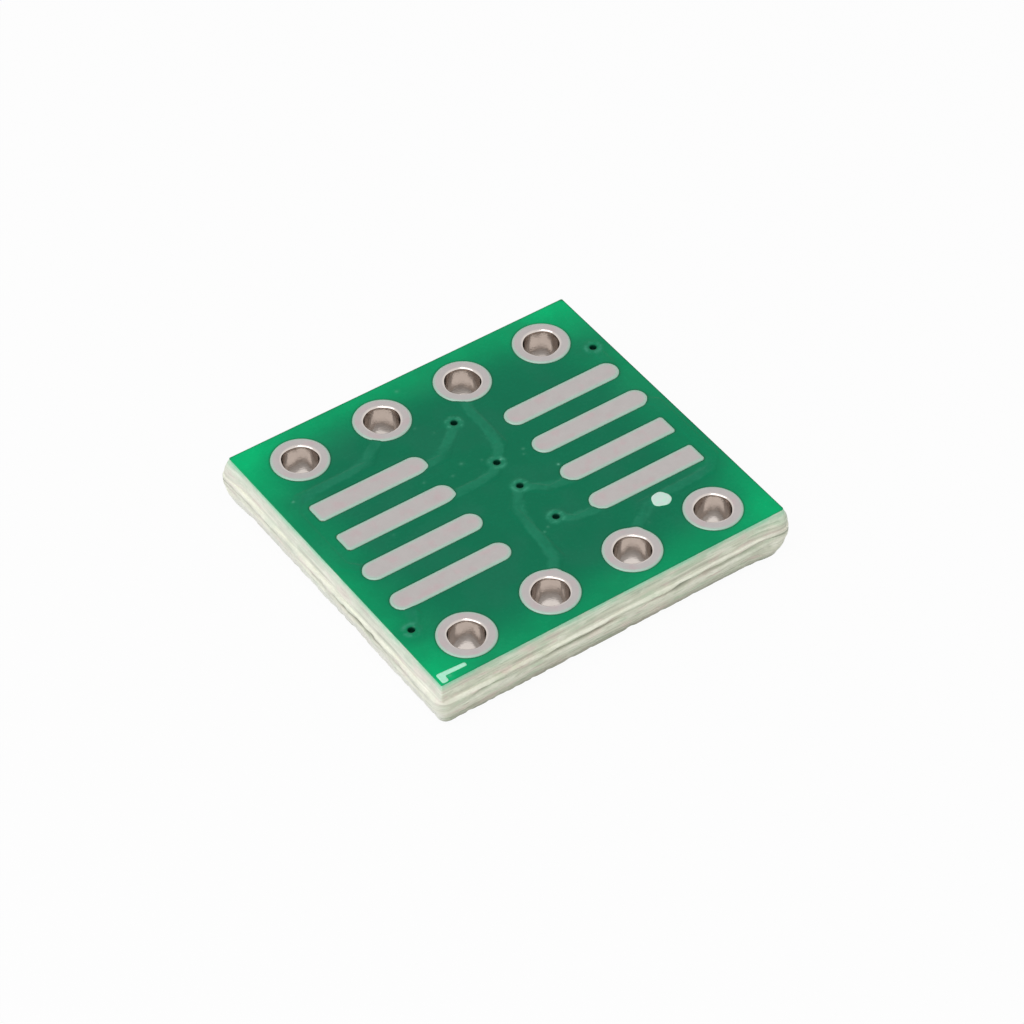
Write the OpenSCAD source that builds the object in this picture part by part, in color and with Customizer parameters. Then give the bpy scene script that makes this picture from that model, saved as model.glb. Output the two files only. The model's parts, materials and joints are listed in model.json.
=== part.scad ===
// Adapter board for one eight-lead surface-mount chip. The top face has wide-pitch lands, the
// underside has fine-pitch lands, and two rows of plated holes take header pins on a DIP pattern.
// Millimetres, +Z up. The origin is under the middle of the board, on the face that it rests on.

/* [Board] */
// Distance between neighbouring header holes, which also sets the rows and the wide-pitch lands
hole_pitch = 2.54; // [2.4:0.01:3]
// From the rings of the header holes to the left and right sides of the top face
side_margin = 0.7; // [0.58:0.01:2]
// From the rings of the header holes to the front and back of the top face
row_margin = 0.32; // [0.26:0.01:2]
// How far the hole pattern lies from the middle of the board, towards the back
grid_shift = -0.04; // [-0.08:0.01:0.08]
// Thickness over the tinned rings of both faces
finished_t = 1.6; // [1.2:0.1:2.4]

/* [Scored and snapped edges] */
// Depth of the upper score, from the laminate's top face
top_score_depth = 0.5; // [0.2:0.02:0.6]
// Thickness of laminate left between the scores, where the board was snapped off
web_t = 0.36; // [0.2:0.02:0.44]
// How far the upper scored face leans out from top to bottom
top_score_lean = 0.1; // [0.04:0.01:0.25]
// How far the lower scored face leans in towards the underside
bottom_score_lean = 0.19; // [0.04:0.01:0.29]
// How far the snapped web stands out beyond the scored faces
web_stub = 0.1; // [0.04:0.01:0.3]
// Corner radius of the web, where its corners broke off
web_corner_r = 0.3; // [0.1:0.01:0.4]

/* [Header holes] */
// Finished bore of a hole
hole_d = 1; // [0.8:0.01:1.2]
// Width of the ring around a hole
ring_w = 0.27; // [0.2:0.01:0.34]
// Rounding of a hole's mouth
lip_r = 0.05; // [0.01:0.005:0.06]

/* [Copper and coatings] */
// Copper foil on each face
copper_t = 0.035; // [0.03:0.001:0.07]
// Copper plating in the holes
plating_t = 0.025; // [0.015:0.001:0.05]
// Tin on the exposed copper
tin_t = 0.02; // [0.015:0.001:0.03]
// Solder mask on the laminate
mask_t = 0.025; // [0.015:0.001:0.03]
// Solder mask on top of a track
mask_cover_t = 0.01; // [0.004:0.001:0.014]
// Solder mask on the side of a track
mask_side = 0.02; // [0.01:0.001:0.03]
// Bare gap between exposed copper and the mask
mask_gap = 0.06; // [0.04:0.005:0.08]
// Legend ink
ink_t = 0.01; // [0.004:0.001:0.015]

/* [Tracks] */
// Width of a track
track_w = 0.25; // [0.18:0.01:0.3]
// From the sides of the top face to the middle of the outermost tracks
edge_track_inset = 0.28; // [0.2:0.01:0.34]
// Cut corner of a track that turns along the side
track_corner = 0.4; // [0.2:0.01:0.6]
// From a track to the end of a land that it passes
track_clearance = 0.145; // [0.1:0.005:0.3]
// How far a track leaves a land below its middle, as a share of the land's width
exit_share = 0.3; // [0.1:0.01:0.31]
// Track of net 2 towards its hole, to the left of the middle
riser_2_x = 0.38; // [0.2:0.01:0.6]
// Track of net 6 towards its hole, to the right of the middle
riser_6_x = 0.8; // [0.7:0.01:0.9]

/* [Wide-pitch lands, top] */
// Width of a land
wide_w = 0.64; // [0.5:0.01:0.76]
// From the middle of the pattern to the inner ends
wide_inner = 1.29; // [1.2:0.01:1.6]
// From the outer ends to the sides of the top face
wide_end_margin = 0.45; // [0.38:0.01:1]
// Corner radius of a land that is cut back for a track
wide_cut_r = 0.08; // [0.04:0.01:0.2]
// How far both land patterns lie to the right of the holes' middle
land_shift = 0.07; // [0.01:0.01:0.1]

/* [Fine-pitch lands, underside] */
// Distance between neighbouring lands
fine_pitch = 0.65; // [0.5:0.01:0.8]
// Width of a land
fine_w = 0.35; // [0.25:0.01:0.42]
// From the middle of the pattern to the inner ends
fine_inner = 1.6; // [1.3:0.02:1.9]
// From the outer ends to the sides of the top face
fine_end_margin = 1.58; // [1.3:0.02:2]

/* [Vias] */
// Outer diameter of a via's ring
via_d = 0.5; // [0.4:0.01:0.6]
// Finished bore of a via
via_hole_d = 0.25; // [0.2:0.01:0.3]
// Bore left in the mask over a via
via_pit_d = 0.2; // [0.15:0.01:0.24]
// From the rings of the vias of nets 4 and 8 to the sides of the underside
edge_via_margin = 0.1; // [0.03:0.005:0.15]
// How far those two vias lie outside the lane between lands and rings
edge_via_step = 0.25; // [0.1:0.01:0.3]
// Via of net 1, to the right of the middle
via_1_x = 0.38; // [0.3:0.01:0.5]
// Via of net 1, behind its land's middle
via_1_step = 0.185; // [0.1:0.005:0.25]
// Via of net 2, to the right of the middle
via_2_x = 0.27; // [0.2:0.01:0.4]
// Via of net 2, behind its land's middle
via_2_step = 0.365; // [0.3:0.005:0.45]
// Via of net 5, to the right of the middle
via_5_x = 0.2; // [0.1:0.01:0.3]
// Via of net 6, to the right of the middle
via_6_x = 0.27; // [0.2:0.01:0.35]
// Via of net 6, behind its land's middle
via_6_step = 0.135; // [0.05:0.005:0.2]

/* [Legend] */
// Diameter of a pin-one dot
dot_d = 0.54; // [0.3:0.01:0.6]
// Top dot, from the right-hand column's inner ends
dot_from_inner = 1.57; // [1.3:0.01:1.8]
// From the wide-pitch lands to the top dot's middle
dot_clearance = 0.55; // [0.46:0.01:0.6]
// Stroke width of a corner mark
mark_w = 0.16; // [0.1:0.01:0.2]
// Length of a corner mark's leg
mark_leg = 0.3; // [0.24:0.01:0.36]
// From the sides of the face to a corner mark
mark_inset = 0.07; // [0.04:0.01:0.1]
// From the bare gap round a header hole's ring to a corner mark
mark_clearance = 0.05; // [0.03:0.01:0.1]

/* [Hidden] */
$fn = 64;
// Holes in each of the two rows, and distance between the rows in steps of the pitch
holes_per_row = 4;
row_steps = 3;
net_count = 2 * holes_per_row;
// Leads of the larger chip are half a hole pitch apart
wide_pitch = hole_pitch / 2;
// Stack of layers, from the resting face up
core_bottom = copper_t + tin_t;
core_top = finished_t - copper_t - tin_t;
// Radii of the header holes
hole_r = hole_d / 2;
barrel_r = hole_r + tin_t;
drill_r = barrel_r + plating_t;
ring_r = hole_r + ring_w;
row_y = row_steps * hole_pitch / 2;
// The tin covers the copper's corner in a mouth that is rounded by up to this many thicknesses of tin
lip_to_tin = 3.4;
lip = min(lip_r, lip_to_tin * tin_t);
// Outline of the top face
board_w = (holes_per_row - 1) * hole_pitch + 2 * (ring_r + side_margin);
board_d = row_steps * hole_pitch + 2 * (ring_r + row_margin);
// Levels and outlines of the snapped edge and the underside
root_top = core_top - top_score_depth;
root_bottom = root_top - web_t;
root_w = board_w + 2 * top_score_lean;
root_d = board_d + 2 * top_score_lean;
web_w = root_w + 2 * web_stub;
web_d = root_d + 2 * web_stub;
under_w = root_w - 2 * bottom_score_lean;
under_d = root_d - 2 * bottom_score_lean;
// Places that the tracks keep to
edge_track_x = board_w / 2 - edge_track_inset;
wide_outer = board_w / 2 - wide_end_margin;
wide_cut_outer = edge_track_x - track_w / 2 - track_clearance - land_shift;
fine_outer = board_w / 2 - fine_end_margin;
wide_side = (holes_per_row - 1) / 2 * wide_pitch + wide_w / 2;
fine_side = (holes_per_row - 1) / 2 * fine_pitch + fine_w / 2;
lane_y = (row_y - ring_r + wide_side) / 2;
under_lane_y = (row_y - ring_r + fine_side) / 2;
edge_via_x = under_w / 2 - edge_via_margin - via_d / 2;
edge_via_y = lane_y + edge_via_step;
exit_step = exit_share * wide_w;
eps = 0.01;

// Nets 1 to 4 have their holes in the front row and their lands on the right.
// Nets 5 to 8 have them in the back row and on the left, so the numbers run round the board.
function is_front(n) = n <= holes_per_row;
function side(n) = is_front(n) ? 1 : -1;
function place_in_row(n) = is_front(n)
    ? n - (holes_per_row + 1) / 2
    : net_count + 1 - n - (holes_per_row + 1) / 2;
function hole_at(n) = [place_in_row(n) * hole_pitch, -side(n) * row_y];
function land_y(n, pitch) = place_in_row(n) * pitch;
// Lands that a track passes on its way along the side are cut back
function is_cut(n) = n == 1 || n == 2 || n == 5 || n == 6;
function has_via(n) = n != 3 && n != 7;
function via_at(n) =
    n == 1 ? [via_1_x, land_y(1, wide_pitch) + via_1_step] :
    n == 2 ? [via_2_x, land_y(2, wide_pitch) + via_2_step] :
    n == 5 ? [via_5_x, lane_y] :
    n == 6 ? [via_6_x, land_y(6, wide_pitch) + via_6_step] :
    side(n) * [edge_via_x, edge_via_y];

// Points on a land's middle line near its ends, from which its tracks start
function wide_in(n) = [land_shift + side(n) * (wide_inner + wide_w / 2), land_y(n, wide_pitch)];
function wide_exit(n) = wide_in(n) - [0, exit_step];
function wide_out(n) = [land_shift + side(n) * (wide_outer - wide_w / 2), land_y(n, wide_pitch)];
function fine_in(n) = [land_shift + side(n) * (fine_inner + fine_w), land_y(n, fine_pitch)];
function fine_out(n) = [land_shift + side(n) * (fine_outer - fine_w), land_y(n, fine_pitch)];
// Middle of the underside lane between a column's outer ends and the track along the side
function outer_lane(n) =
    side(n) * (side(n) * land_shift + fine_outer + edge_via_x - track_w / 2) / 2;

// The route from a to b with one leg at 45 degrees, after a level leg or before an upright one
function level_then_slant(a, b) = abs(b[0] - a[0]) > abs(b[1] - a[1])
    ? [a, [b[0] - sign(b[0] - a[0]) * abs(b[1] - a[1]), a[1]], b]
    : [a, [b[0], a[1] + sign(b[1] - a[1]) * abs(b[0] - a[0])], b];
// The route from a to b that first runs upright and then at 45 degrees
function upright_then_slant(a, b) =
    [a, [a[0], b[1] - sign(b[1] - a[1]) * abs(b[0] - a[0])], b];
// Where a route leaves a level lane at 45 degrees for a hole further out
function lane_end(y, n) = [hole_at(n)[0] + side(n) * abs(y - hole_at(n)[1]), y];

// Routes on the top face, one list of points for each track of a net
function top_routes(n) =
    n == 1 ? [level_then_slant(wide_exit(n), via_at(n))] :
    n == 2 ? [
        level_then_slant(wide_exit(n), via_at(n)),
        [
            via_at(n),
            [-riser_2_x, via_at(n)[1] - via_at(n)[0] - riser_2_x],
            [-riser_2_x, hole_at(n)[1] + abs(-riser_2_x - hole_at(n)[0])],
            hole_at(n)
        ]
    ] :
    n == 4 ? [[
        wide_out(n),
        [via_at(n)[0], wide_out(n)[1] + via_at(n)[0] - wide_out(n)[0]],
        via_at(n)
    ]] :
    n == 5 ? [level_then_slant(wide_exit(n), via_at(n))] :
    n == 6 ? [
        level_then_slant(wide_exit(n), via_at(n)),
        [
            via_at(n),
            [riser_6_x, via_at(n)[1] + riser_6_x - via_at(n)[0]],
            [riser_6_x, hole_at(n)[1] - abs(riser_6_x - hole_at(n)[0])],
            hole_at(n)
        ]
    ] :
    n == 8 ? [upright_then_slant(wide_out(n), via_at(n))] :
    [side_route(n)];
// Nets 3 and 7 go from their hole along a lane and up or down the side to the land's outer end
function side_route(n) = [
    hole_at(n),
    [hole_at(n)[0] + side(n) * (row_y - lane_y), -side(n) * lane_y],
    [side(n) * (edge_track_x - track_corner), -side(n) * lane_y],
    [side(n) * edge_track_x, -side(n) * (lane_y - track_corner)],
    [side(n) * edge_track_x, wide_out(n)[1] - side(n) * abs(side(n) * edge_track_x - wide_out(n)[0])],
    wide_out(n)
];

// Routes on the underside
function under_routes(n) =
    n == 1 || n == 5 ? [
        level_then_slant(fine_in(n), via_at(n)),
        [
            via_at(n),
            [via_at(n)[0] - side(n) * abs(under_lane_y - abs(via_at(n)[1])), -side(n) * under_lane_y],
            lane_end(-side(n) * under_lane_y, n),
            hole_at(n)
        ]
    ] :
    n == 2 || n == 6 ? [level_then_slant(fine_in(n), via_at(n))] :
    n == 4 || n == 8 ? [
        upright_then_slant(via_at(n), hole_at(n)),
        [[via_at(n)[0], fine_out(n)[1]], fine_out(n)]
    ] :
    [[
        hole_at(n),
        [hole_at(n)[0] + side(n) * (row_y - under_lane_y), -side(n) * under_lane_y],
        [outer_lane(n) - side(n) * track_corner, -side(n) * under_lane_y],
        [outer_lane(n), -side(n) * (under_lane_y - track_corner)],
        [outer_lane(n), fine_out(n)[1] - side(n) * track_w],
        [outer_lane(n) - side(n) * track_w, fine_out(n)[1]],
        fine_out(n)
    ]];

// A track is one outline that follows its points at half its width on both sides, with mitred
// corners. Points that fall together are used once.
function apart(points) =
    [for (i = [0:len(points) - 1]) if (i == 0 || norm(points[i] - points[i - 1]) > eps) points[i]];
function left_of(a, b) = [a[1] - b[1], b[0] - a[0]] / norm(b - a);
function mitre(p, i) =
    i == 0 ? left_of(p[0], p[1]) :
    i == len(p) - 1 ? left_of(p[i - 1], p[i]) :
    (left_of(p[i - 1], p[i]) + left_of(p[i], p[i + 1]))
        / (1 + left_of(p[i - 1], p[i]) * left_of(p[i], p[i + 1]));
module track(points, w) {
    p = apart(points);
    right = [for (i = [0:len(p) - 1]) p[i] - mitre(p, i) * w / 2];
    left = [for (i = [len(p) - 1:-1:0]) p[i] + mitre(p, i) * w / 2];
    polygon(concat(right, left));
}

// Flat shapes, drawn in the hole pattern's own frame

// A bar from x = 0 to its length, fully rounded at both ends
module round_bar(length, w) {
    translate([w / 2, -w / 2]) square([length - w, w]);
    for (x = [w / 2, length - w / 2]) translate([x, 0]) circle(d = w);
}

// A bar from x = 0 to its length, fully rounded at the left end and with two small corner radii
// at the right end
module cut_bar(length, w, r) {
    translate([w / 2, 0]) circle(d = w);
    translate([w / 2, -w / 2]) square([length - w / 2 - r, w]);
    translate([length - 2 * r, r - w / 2]) square([2 * r, w - 2 * r]);
    for (y = [-1, 1]) translate([length - r, y * (w / 2 - r)]) circle(r = r);
}

// The land of a net on the top face, grown by a margin all round
module wide_land(n, margin = 0) {
    length = wide_outer - wide_inner + 2 * margin;
    cut_length = wide_cut_outer - wide_inner + 2 * margin;
    w = wide_w + 2 * margin;
    translate([land_shift, land_y(n, wide_pitch)])
        rotate(side(n) > 0 ? 0 : 180)
            translate([wide_inner - margin, 0]) {
                if (is_cut(n)) cut_bar(cut_length, w, wide_cut_r + margin);
                if (!is_cut(n)) round_bar(length, w);
            }
}

// The land of a net on the underside, grown by a margin all round
module fine_land(n, margin = 0) {
    translate([land_shift, land_y(n, fine_pitch)])
        rotate(side(n) > 0 ? 0 : 180)
            translate([fine_inner - margin, -fine_w / 2 - margin])
                square([fine_outer - fine_inner + 2 * margin, fine_w + 2 * margin]);
}

module tracks(routes, margin = 0) {
    for (route = routes) track(route, track_w + 2 * margin);
}

module via_ring(n, margin = 0) {
    if (has_via(n)) translate(via_at(n)) circle(d = via_d + 2 * margin);
}

module hole_ring(n, margin = 0) {
    translate(hole_at(n)) circle(r = ring_r + margin);
}

// All the copper of a net on one face
module top_copper(n) {
    wide_land(n);
    hole_ring(n);
    via_ring(n);
    tracks(top_routes(n));
}

module under_copper(n) {
    fine_land(n);
    hole_ring(n);
    via_ring(n);
    tracks(under_routes(n));
}

module face_outline(w, d) {
    translate([0, -grid_shift]) square([w, d], center = true);
}

// Places a flat drawing of the hole pattern's frame on the board, between two levels
module layer(z0, z1) {
    translate([0, grid_shift, z0]) linear_extrude(height = z1 - z0) children();
}

// Cuts that go right through the board at each hole and via
module through_cuts(hole_radius, via_radius) {
    for (n = [1:net_count]) {
        through_cut(hole_at(n), hole_radius);
        if (has_via(n)) through_cut(via_at(n), via_radius);
    }
}

module through_cut(place, radius) {
    translate([place[0], place[1] + grid_shift, -eps])
        cylinder(r = radius, h = finished_t + 2 * eps);
}

// The board between its two faces without the snapped web. Its section across and its section
// along meet at the corners, as the scores do.
module scored_block() {
    intersection() {
        rotate([90, 0, 0])
            linear_extrude(height = 2 * web_d, center = true)
                scored_section(under_w / 2, root_w / 2, board_w / 2);
        rotate([90, 0, 90])
            linear_extrude(height = 2 * web_w, center = true)
                scored_section(under_d / 2, root_d / 2, board_d / 2);
    }
}

module scored_section(under, root, top) {
    polygon([
        [-under, core_bottom], [under, core_bottom], [root, root_bottom], [root, root_top],
        [top, core_top], [-top, core_top], [-root, root_top], [-root, root_bottom]
    ]);
}

// The band that was snapped through, which stands out all round
module snapped_web() {
    translate([0, 0, root_bottom])
        linear_extrude(height = web_t) {
            square([web_w - 2 * web_corner_r, web_d], center = true);
            square([web_w, web_d - 2 * web_corner_r], center = true);
            for (corner = [[-1, -1], [1, -1], [1, 1], [-1, 1]]) {
                translate([corner[0] * (web_w / 2 - web_corner_r), corner[1] * (web_d / 2 - web_corner_r)])
                    circle(r = web_corner_r);
            }
        }
}

// Laminate of glass cloth and epoxy, scored from both faces, snapped out of its panel and drilled
module laminate() {
    color([0.86, 0.86, 0.74])
        difference() {
            union() {
                scored_block();
                snapped_web();
            }
            through_cuts(drill_r, via_hole_d / 2 + plating_t);
        }
}

// One net: foil on both faces, joined by the plating in its hole and its via
module net_copper(n) {
    color([0.8, 0.5, 0.3])
        difference() {
            union() {
                layer(core_top, core_top + copper_t) top_copper(n);
                layer(core_bottom - copper_t, core_bottom) under_copper(n);
                layer(core_bottom, core_top) {
                    translate(hole_at(n)) circle(r = drill_r);
                    if (has_via(n)) translate(via_at(n)) circle(r = via_hole_d / 2 + plating_t);
                }
            }
            through_cuts(barrel_r, via_hole_d / 2);
        }
}

// Tin that lines a header hole and covers both its rings, with the start of any track that the
// mask leaves bare
module header_hole_tin(n) {
    color([0.73, 0.7, 0.69])
        difference() {
            union() {
                layer(finished_t - tin_t, finished_t)
                    intersection() {
                        top_copper(n);
                        hole_ring(n, mask_gap);
                    }
                layer(0, tin_t)
                    intersection() {
                        under_copper(n);
                        hole_ring(n, mask_gap);
                    }
                layer(tin_t, finished_t - tin_t) translate(hole_at(n)) circle(r = barrel_r);
            }
            layer(-eps, finished_t + eps) translate(hole_at(n)) circle(r = hole_r);
            translate(concat(hole_at(n) + [0, grid_shift], 0)) {
                mouth_rounding(0, 1);
                mouth_rounding(finished_t, -1);
            }
        }
}

// What a hole's rounded mouth takes away: the corner outside a quarter circle. It opens towards
// the board's inside along the given direction.
module mouth_rounding(z, direction) {
    translate([0, 0, z])
        mirror([0, 0, direction < 0 ? 1 : 0])
            rotate_extrude()
                difference() {
                    translate([hole_r - eps, -eps]) square([lip + eps, lip + eps]);
                    translate([hole_r + lip, lip]) circle(r = lip);
                    translate([hole_r - 2 * eps, lip]) square([lip + eps, lip]);
                }
}

// Tin on a land, with the start of its track
module wide_land_tin(n) {
    color([0.73, 0.7, 0.69])
        layer(finished_t - tin_t, finished_t)
            intersection() {
                top_copper(n);
                wide_land(n, mask_gap);
            }
}

module fine_land_tin(n) {
    color([0.73, 0.7, 0.69])
        layer(0, tin_t)
            intersection() {
                under_copper(n);
                fine_land(n, mask_gap);
            }
}

// Solder mask: a sheet on the laminate with an opening at each ring and land, raised over the
// tracks and vias
module solder_mask_top() {
    color([0.07, 0.5, 0.32])
        difference() {
            union() {
                layer(core_top, core_top + mask_t) face_outline(board_w, board_d);
                layer(core_top, core_top + copper_t + mask_cover_t)
                    for (n = [1:net_count]) {
                        tracks(top_routes(n), mask_side);
                        via_ring(n, mask_side);
                    }
            }
            layer(core_top - eps, finished_t + eps)
                for (n = [1:net_count]) {
                    hole_ring(n, mask_gap);
                    wide_land(n, mask_gap);
                }
            for (n = [1:net_count]) layer(core_top, core_top + copper_t) top_copper(n);
            through_cuts(barrel_r, via_pit_d / 2);
        }
}

module solder_mask_underside() {
    color([0.07, 0.5, 0.32])
        difference() {
            union() {
                layer(core_bottom - mask_t, core_bottom) face_outline(under_w, under_d);
                layer(core_bottom - copper_t - mask_cover_t, core_bottom)
                    for (n = [1:net_count]) {
                        tracks(under_routes(n), mask_side);
                        via_ring(n, mask_side);
                    }
            }
            layer(-eps, core_bottom + eps)
                for (n = [1:net_count]) {
                    hole_ring(n, mask_gap);
                    fine_land(n, mask_gap);
                }
            for (n = [1:net_count]) layer(core_bottom - copper_t, core_bottom) under_copper(n);
            through_cuts(barrel_r, via_pit_d / 2);
        }
}

// Legend: a printed dot by the chip's first lead, which runs over a raised track
module pin_one_dot() {
    top = core_top + copper_t + mask_cover_t + ink_t;
    color([0.87, 0.96, 0.91])
        difference() {
            layer(core_top + mask_t, top)
                translate([land_shift + wide_inner + dot_from_inner, -wide_side - dot_clearance])
                    circle(d = dot_d);
            layer(core_top, top - ink_t)
                for (n = [1:net_count]) tracks(top_routes(n), mask_side);
        }
}

// Legend: an angled stroke in the front left corner of a face, which ends short of the ring of the
// hole there
module corner_stroke(w, d) {
    ring_x = w / 2 - (holes_per_row - 1) / 2 * hole_pitch;
    ring_y = d / 2 - row_y + grid_shift;
    reach = ring_r + mask_gap + mark_clearance;
    rise = ring_y - mark_inset - mark_leg;
    end = ring_x - (reach > rise ? sqrt(reach * reach - rise * rise) : 0);
    translate([-w / 2, mark_inset - d / 2]) {
        translate([mark_inset, 0]) square([mark_w, mark_leg]);
        translate([mark_inset, mark_leg - mark_w]) square([end - mark_inset, mark_w]);
    }
}

module corner_mark() {
    color([0.87, 0.96, 0.91])
        translate([0, 0, core_top + mask_t])
            linear_extrude(height = ink_t) corner_stroke(board_w, board_d);
}

// The underside is used face up with the board turned over, so its first lead is on net 4
module underside_pin_one_dot() {
    first = holes_per_row;
    color([0.87, 0.96, 0.91])
        layer(core_bottom - mask_t - ink_t, core_bottom - mask_t)
            translate([fine_out(first)[0], (land_y(first, fine_pitch) + lane_y) / 2]) circle(d = dot_d);
}

module underside_corner_mark() {
    color([0.87, 0.96, 0.91])
        translate([0, 0, core_bottom - mask_t - ink_t])
            linear_extrude(height = ink_t) mirror([1, 0]) corner_stroke(under_w, under_d);
}

laminate();
solder_mask_top();
solder_mask_underside();
pin_one_dot();
corner_mark();
underside_pin_one_dot();
underside_corner_mark();
for (n = [1:net_count]) {
    net_copper(n);
    header_hole_tin(n);
    wide_land_tin(n);
    fine_land_tin(n);
}
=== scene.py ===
"""Looks of the smd to dip adapter board: its masks, tin, laminate, legend, light and camera."""

import json
import logging
import math
from dataclasses import dataclass, field
from enum import Enum
from typing import Callable, Sequence

import bpy
import numpy as np
from mathutils import Matrix, Vector
from mathutils.geometry import delaunay_2d_cdt

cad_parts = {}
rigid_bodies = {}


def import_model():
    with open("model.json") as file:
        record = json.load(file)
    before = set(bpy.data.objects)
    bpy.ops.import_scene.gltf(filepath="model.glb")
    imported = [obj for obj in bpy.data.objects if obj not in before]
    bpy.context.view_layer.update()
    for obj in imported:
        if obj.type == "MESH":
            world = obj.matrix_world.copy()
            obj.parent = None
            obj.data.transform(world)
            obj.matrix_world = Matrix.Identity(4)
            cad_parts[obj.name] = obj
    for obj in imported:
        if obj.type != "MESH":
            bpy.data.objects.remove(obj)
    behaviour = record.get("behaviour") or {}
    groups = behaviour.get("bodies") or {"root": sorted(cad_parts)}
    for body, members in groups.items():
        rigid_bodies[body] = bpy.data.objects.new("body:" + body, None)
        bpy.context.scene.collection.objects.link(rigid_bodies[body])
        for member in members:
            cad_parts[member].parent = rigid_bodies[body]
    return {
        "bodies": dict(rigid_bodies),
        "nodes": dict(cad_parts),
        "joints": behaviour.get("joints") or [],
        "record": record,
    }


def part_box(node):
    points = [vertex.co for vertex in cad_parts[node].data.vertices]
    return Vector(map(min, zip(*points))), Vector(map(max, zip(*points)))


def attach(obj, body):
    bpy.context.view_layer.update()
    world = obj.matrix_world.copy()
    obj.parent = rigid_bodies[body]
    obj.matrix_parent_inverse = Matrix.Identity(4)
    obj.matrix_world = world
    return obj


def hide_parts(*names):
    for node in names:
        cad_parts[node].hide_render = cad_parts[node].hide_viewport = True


Array = np.ndarray
Colour = tuple[float, float, float]
Point = tuple[float, float]
Point3 = tuple[float, float, float]

MM = 0.001
log = logging.getLogger("adapter_board")


class Face(Enum):
    """The two faces of the board, by the sign of their outward direction."""

    TOP = 1
    UNDERSIDE = -1


# Arithmetic on whole arrays


def smooth_step(value: Array) -> Array:
    """Eases from 0 to 1 while the value goes from 0 to 1, as 3 t squared less 2 t cubed.

    Args:
        value: Any numbers.

    Returns:
        The eased numbers, 0 below 0 and 1 above 1.
    """
    t = np.clip(value, 0.0, 1.0)
    return t * t * (3.0 - 2.0 * t)


def soft_noise(shape: tuple[int, int], reach: tuple[float, float], seed: int) -> Array:
    """Smooth noise that repeats at its sides: white noise whose waves shorter than a reach are faded.

    Args:
        shape: Rows and columns of the noise.
        reach: Width of its soft spots, in rows and in columns.
        seed: Start of the random numbers.

    Returns:
        Numbers with mean 0 and a spread of 1.
    """
    white = np.random.default_rng(seed).standard_normal(shape)
    rows = np.fft.fftfreq(shape[0])[:, None] * reach[0]
    columns = np.fft.fftfreq(shape[1])[None, :] * reach[1]
    faded = np.fft.fft2(white) * np.exp(-2.0 * math.pi * (rows**2 + columns**2))
    noise = np.fft.ifft2(faded).real
    noise -= noise.mean()
    return noise / noise.std()


def segment_distance(x: Array, y: Array, start: Point, end: Point) -> Array:
    """Distance to a straight stretch: to its nearest point, found by projection and kept in its ends.

    Args:
        x: Places along X.
        y: Places along Y.
        start: One end.
        end: The other end.

    Returns:
        The distances.
    """
    along = np.subtract(end, start)
    share = ((x - start[0]) * along[0] + (y - start[1]) * along[1]) / max(float(along @ along), 1e-12)
    share = np.clip(share, 0.0, 1.0)
    return np.hypot(x - start[0] - share * along[0], y - start[1] - share * along[1])


# Meshes


@dataclass
class Piece:
    """Points and faces of one closed piece, in millimetres, and the values that its finish reads."""

    name: str
    points: Array
    faces: list[Array]
    values: dict[str, Array] = field(default_factory=dict)
    sharp_deg: float = 40.0

    def volume(self) -> float:
        """Volume inside the faces: a sixth of the triple products of their triangles, added up."""
        total = 0.0
        for faces in self.faces:
            first = self.points[faces[:, 0]]
            for corner in range(1, faces.shape[1] - 1):
                pair = np.cross(self.points[faces[:, corner]], self.points[faces[:, corner + 1]])
                total += float(np.einsum("ij,ij->", first, pair)) / 6.0
        return total

    def make(self, finish: bpy.types.Material, slot: str, *nodes: str) -> bpy.types.Object:
        """Puts the piece into the scene, facing outwards and riding on the board.

        Args:
            finish: Its material.
            slot: The record's material slot for the piece; not used.
            nodes: The CAD nodes that it stands for.

        Returns:
            The new object.
        """
        if self.volume() < 0.0:
            self.faces = [faces[:, ::-1] for faces in self.faces]
        listed = [face for faces in self.faces for face in faces.tolist()]
        mesh = bpy.data.meshes.new(self.name)
        mesh.from_pydata((self.points * MM).tolist(), [], listed)
        for name, values in self.values.items():
            mesh.attributes.new(name, "FLOAT", "POINT").data.foreach_set("value", values.astype(np.float32))
        mesh.shade_smooth()
        mesh.set_sharp_from_angle(angle=math.radians(self.sharp_deg))
        mesh.materials.append(finish)
        piece = bpy.data.objects.new(self.name, mesh)
        bpy.context.scene.collection.objects.link(piece)
        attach(piece, "root")
        if nodes:
            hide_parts(*nodes)
        log.info("%s: %d faces", self.name, len(listed))
        return piece


def strip(first: Array, second: Array) -> Array:
    """Quads between two closed rows of the same number of points.

    Args:
        first: Indices of one row.
        second: Indices of the other.

    Returns:
        One quad for each step round the rows.
    """
    return np.stack([first, np.roll(first, -1), np.roll(second, -1), second], axis=1)


def tube_faces(rows: int, columns: int, closed: bool) -> Array:
    """Quads of a grid that is closed along its columns, and along its rows if asked.

    Args:
        rows: Rows of the grid.
        columns: Points in each row.
        closed: Whether the last row joins the first.

    Returns:
        The quads, as indices into the grid's points row by row.
    """
    index = np.arange(rows * columns).reshape(rows, columns)
    below = np.roll(index, -1, axis=0)
    if not closed:
        index, below = index[:-1], below[:-1]
    quads = np.stack([index, np.roll(index, -1, axis=1), np.roll(below, -1, axis=1), below], axis=-1)
    return quads.reshape(-1, 4)


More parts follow.
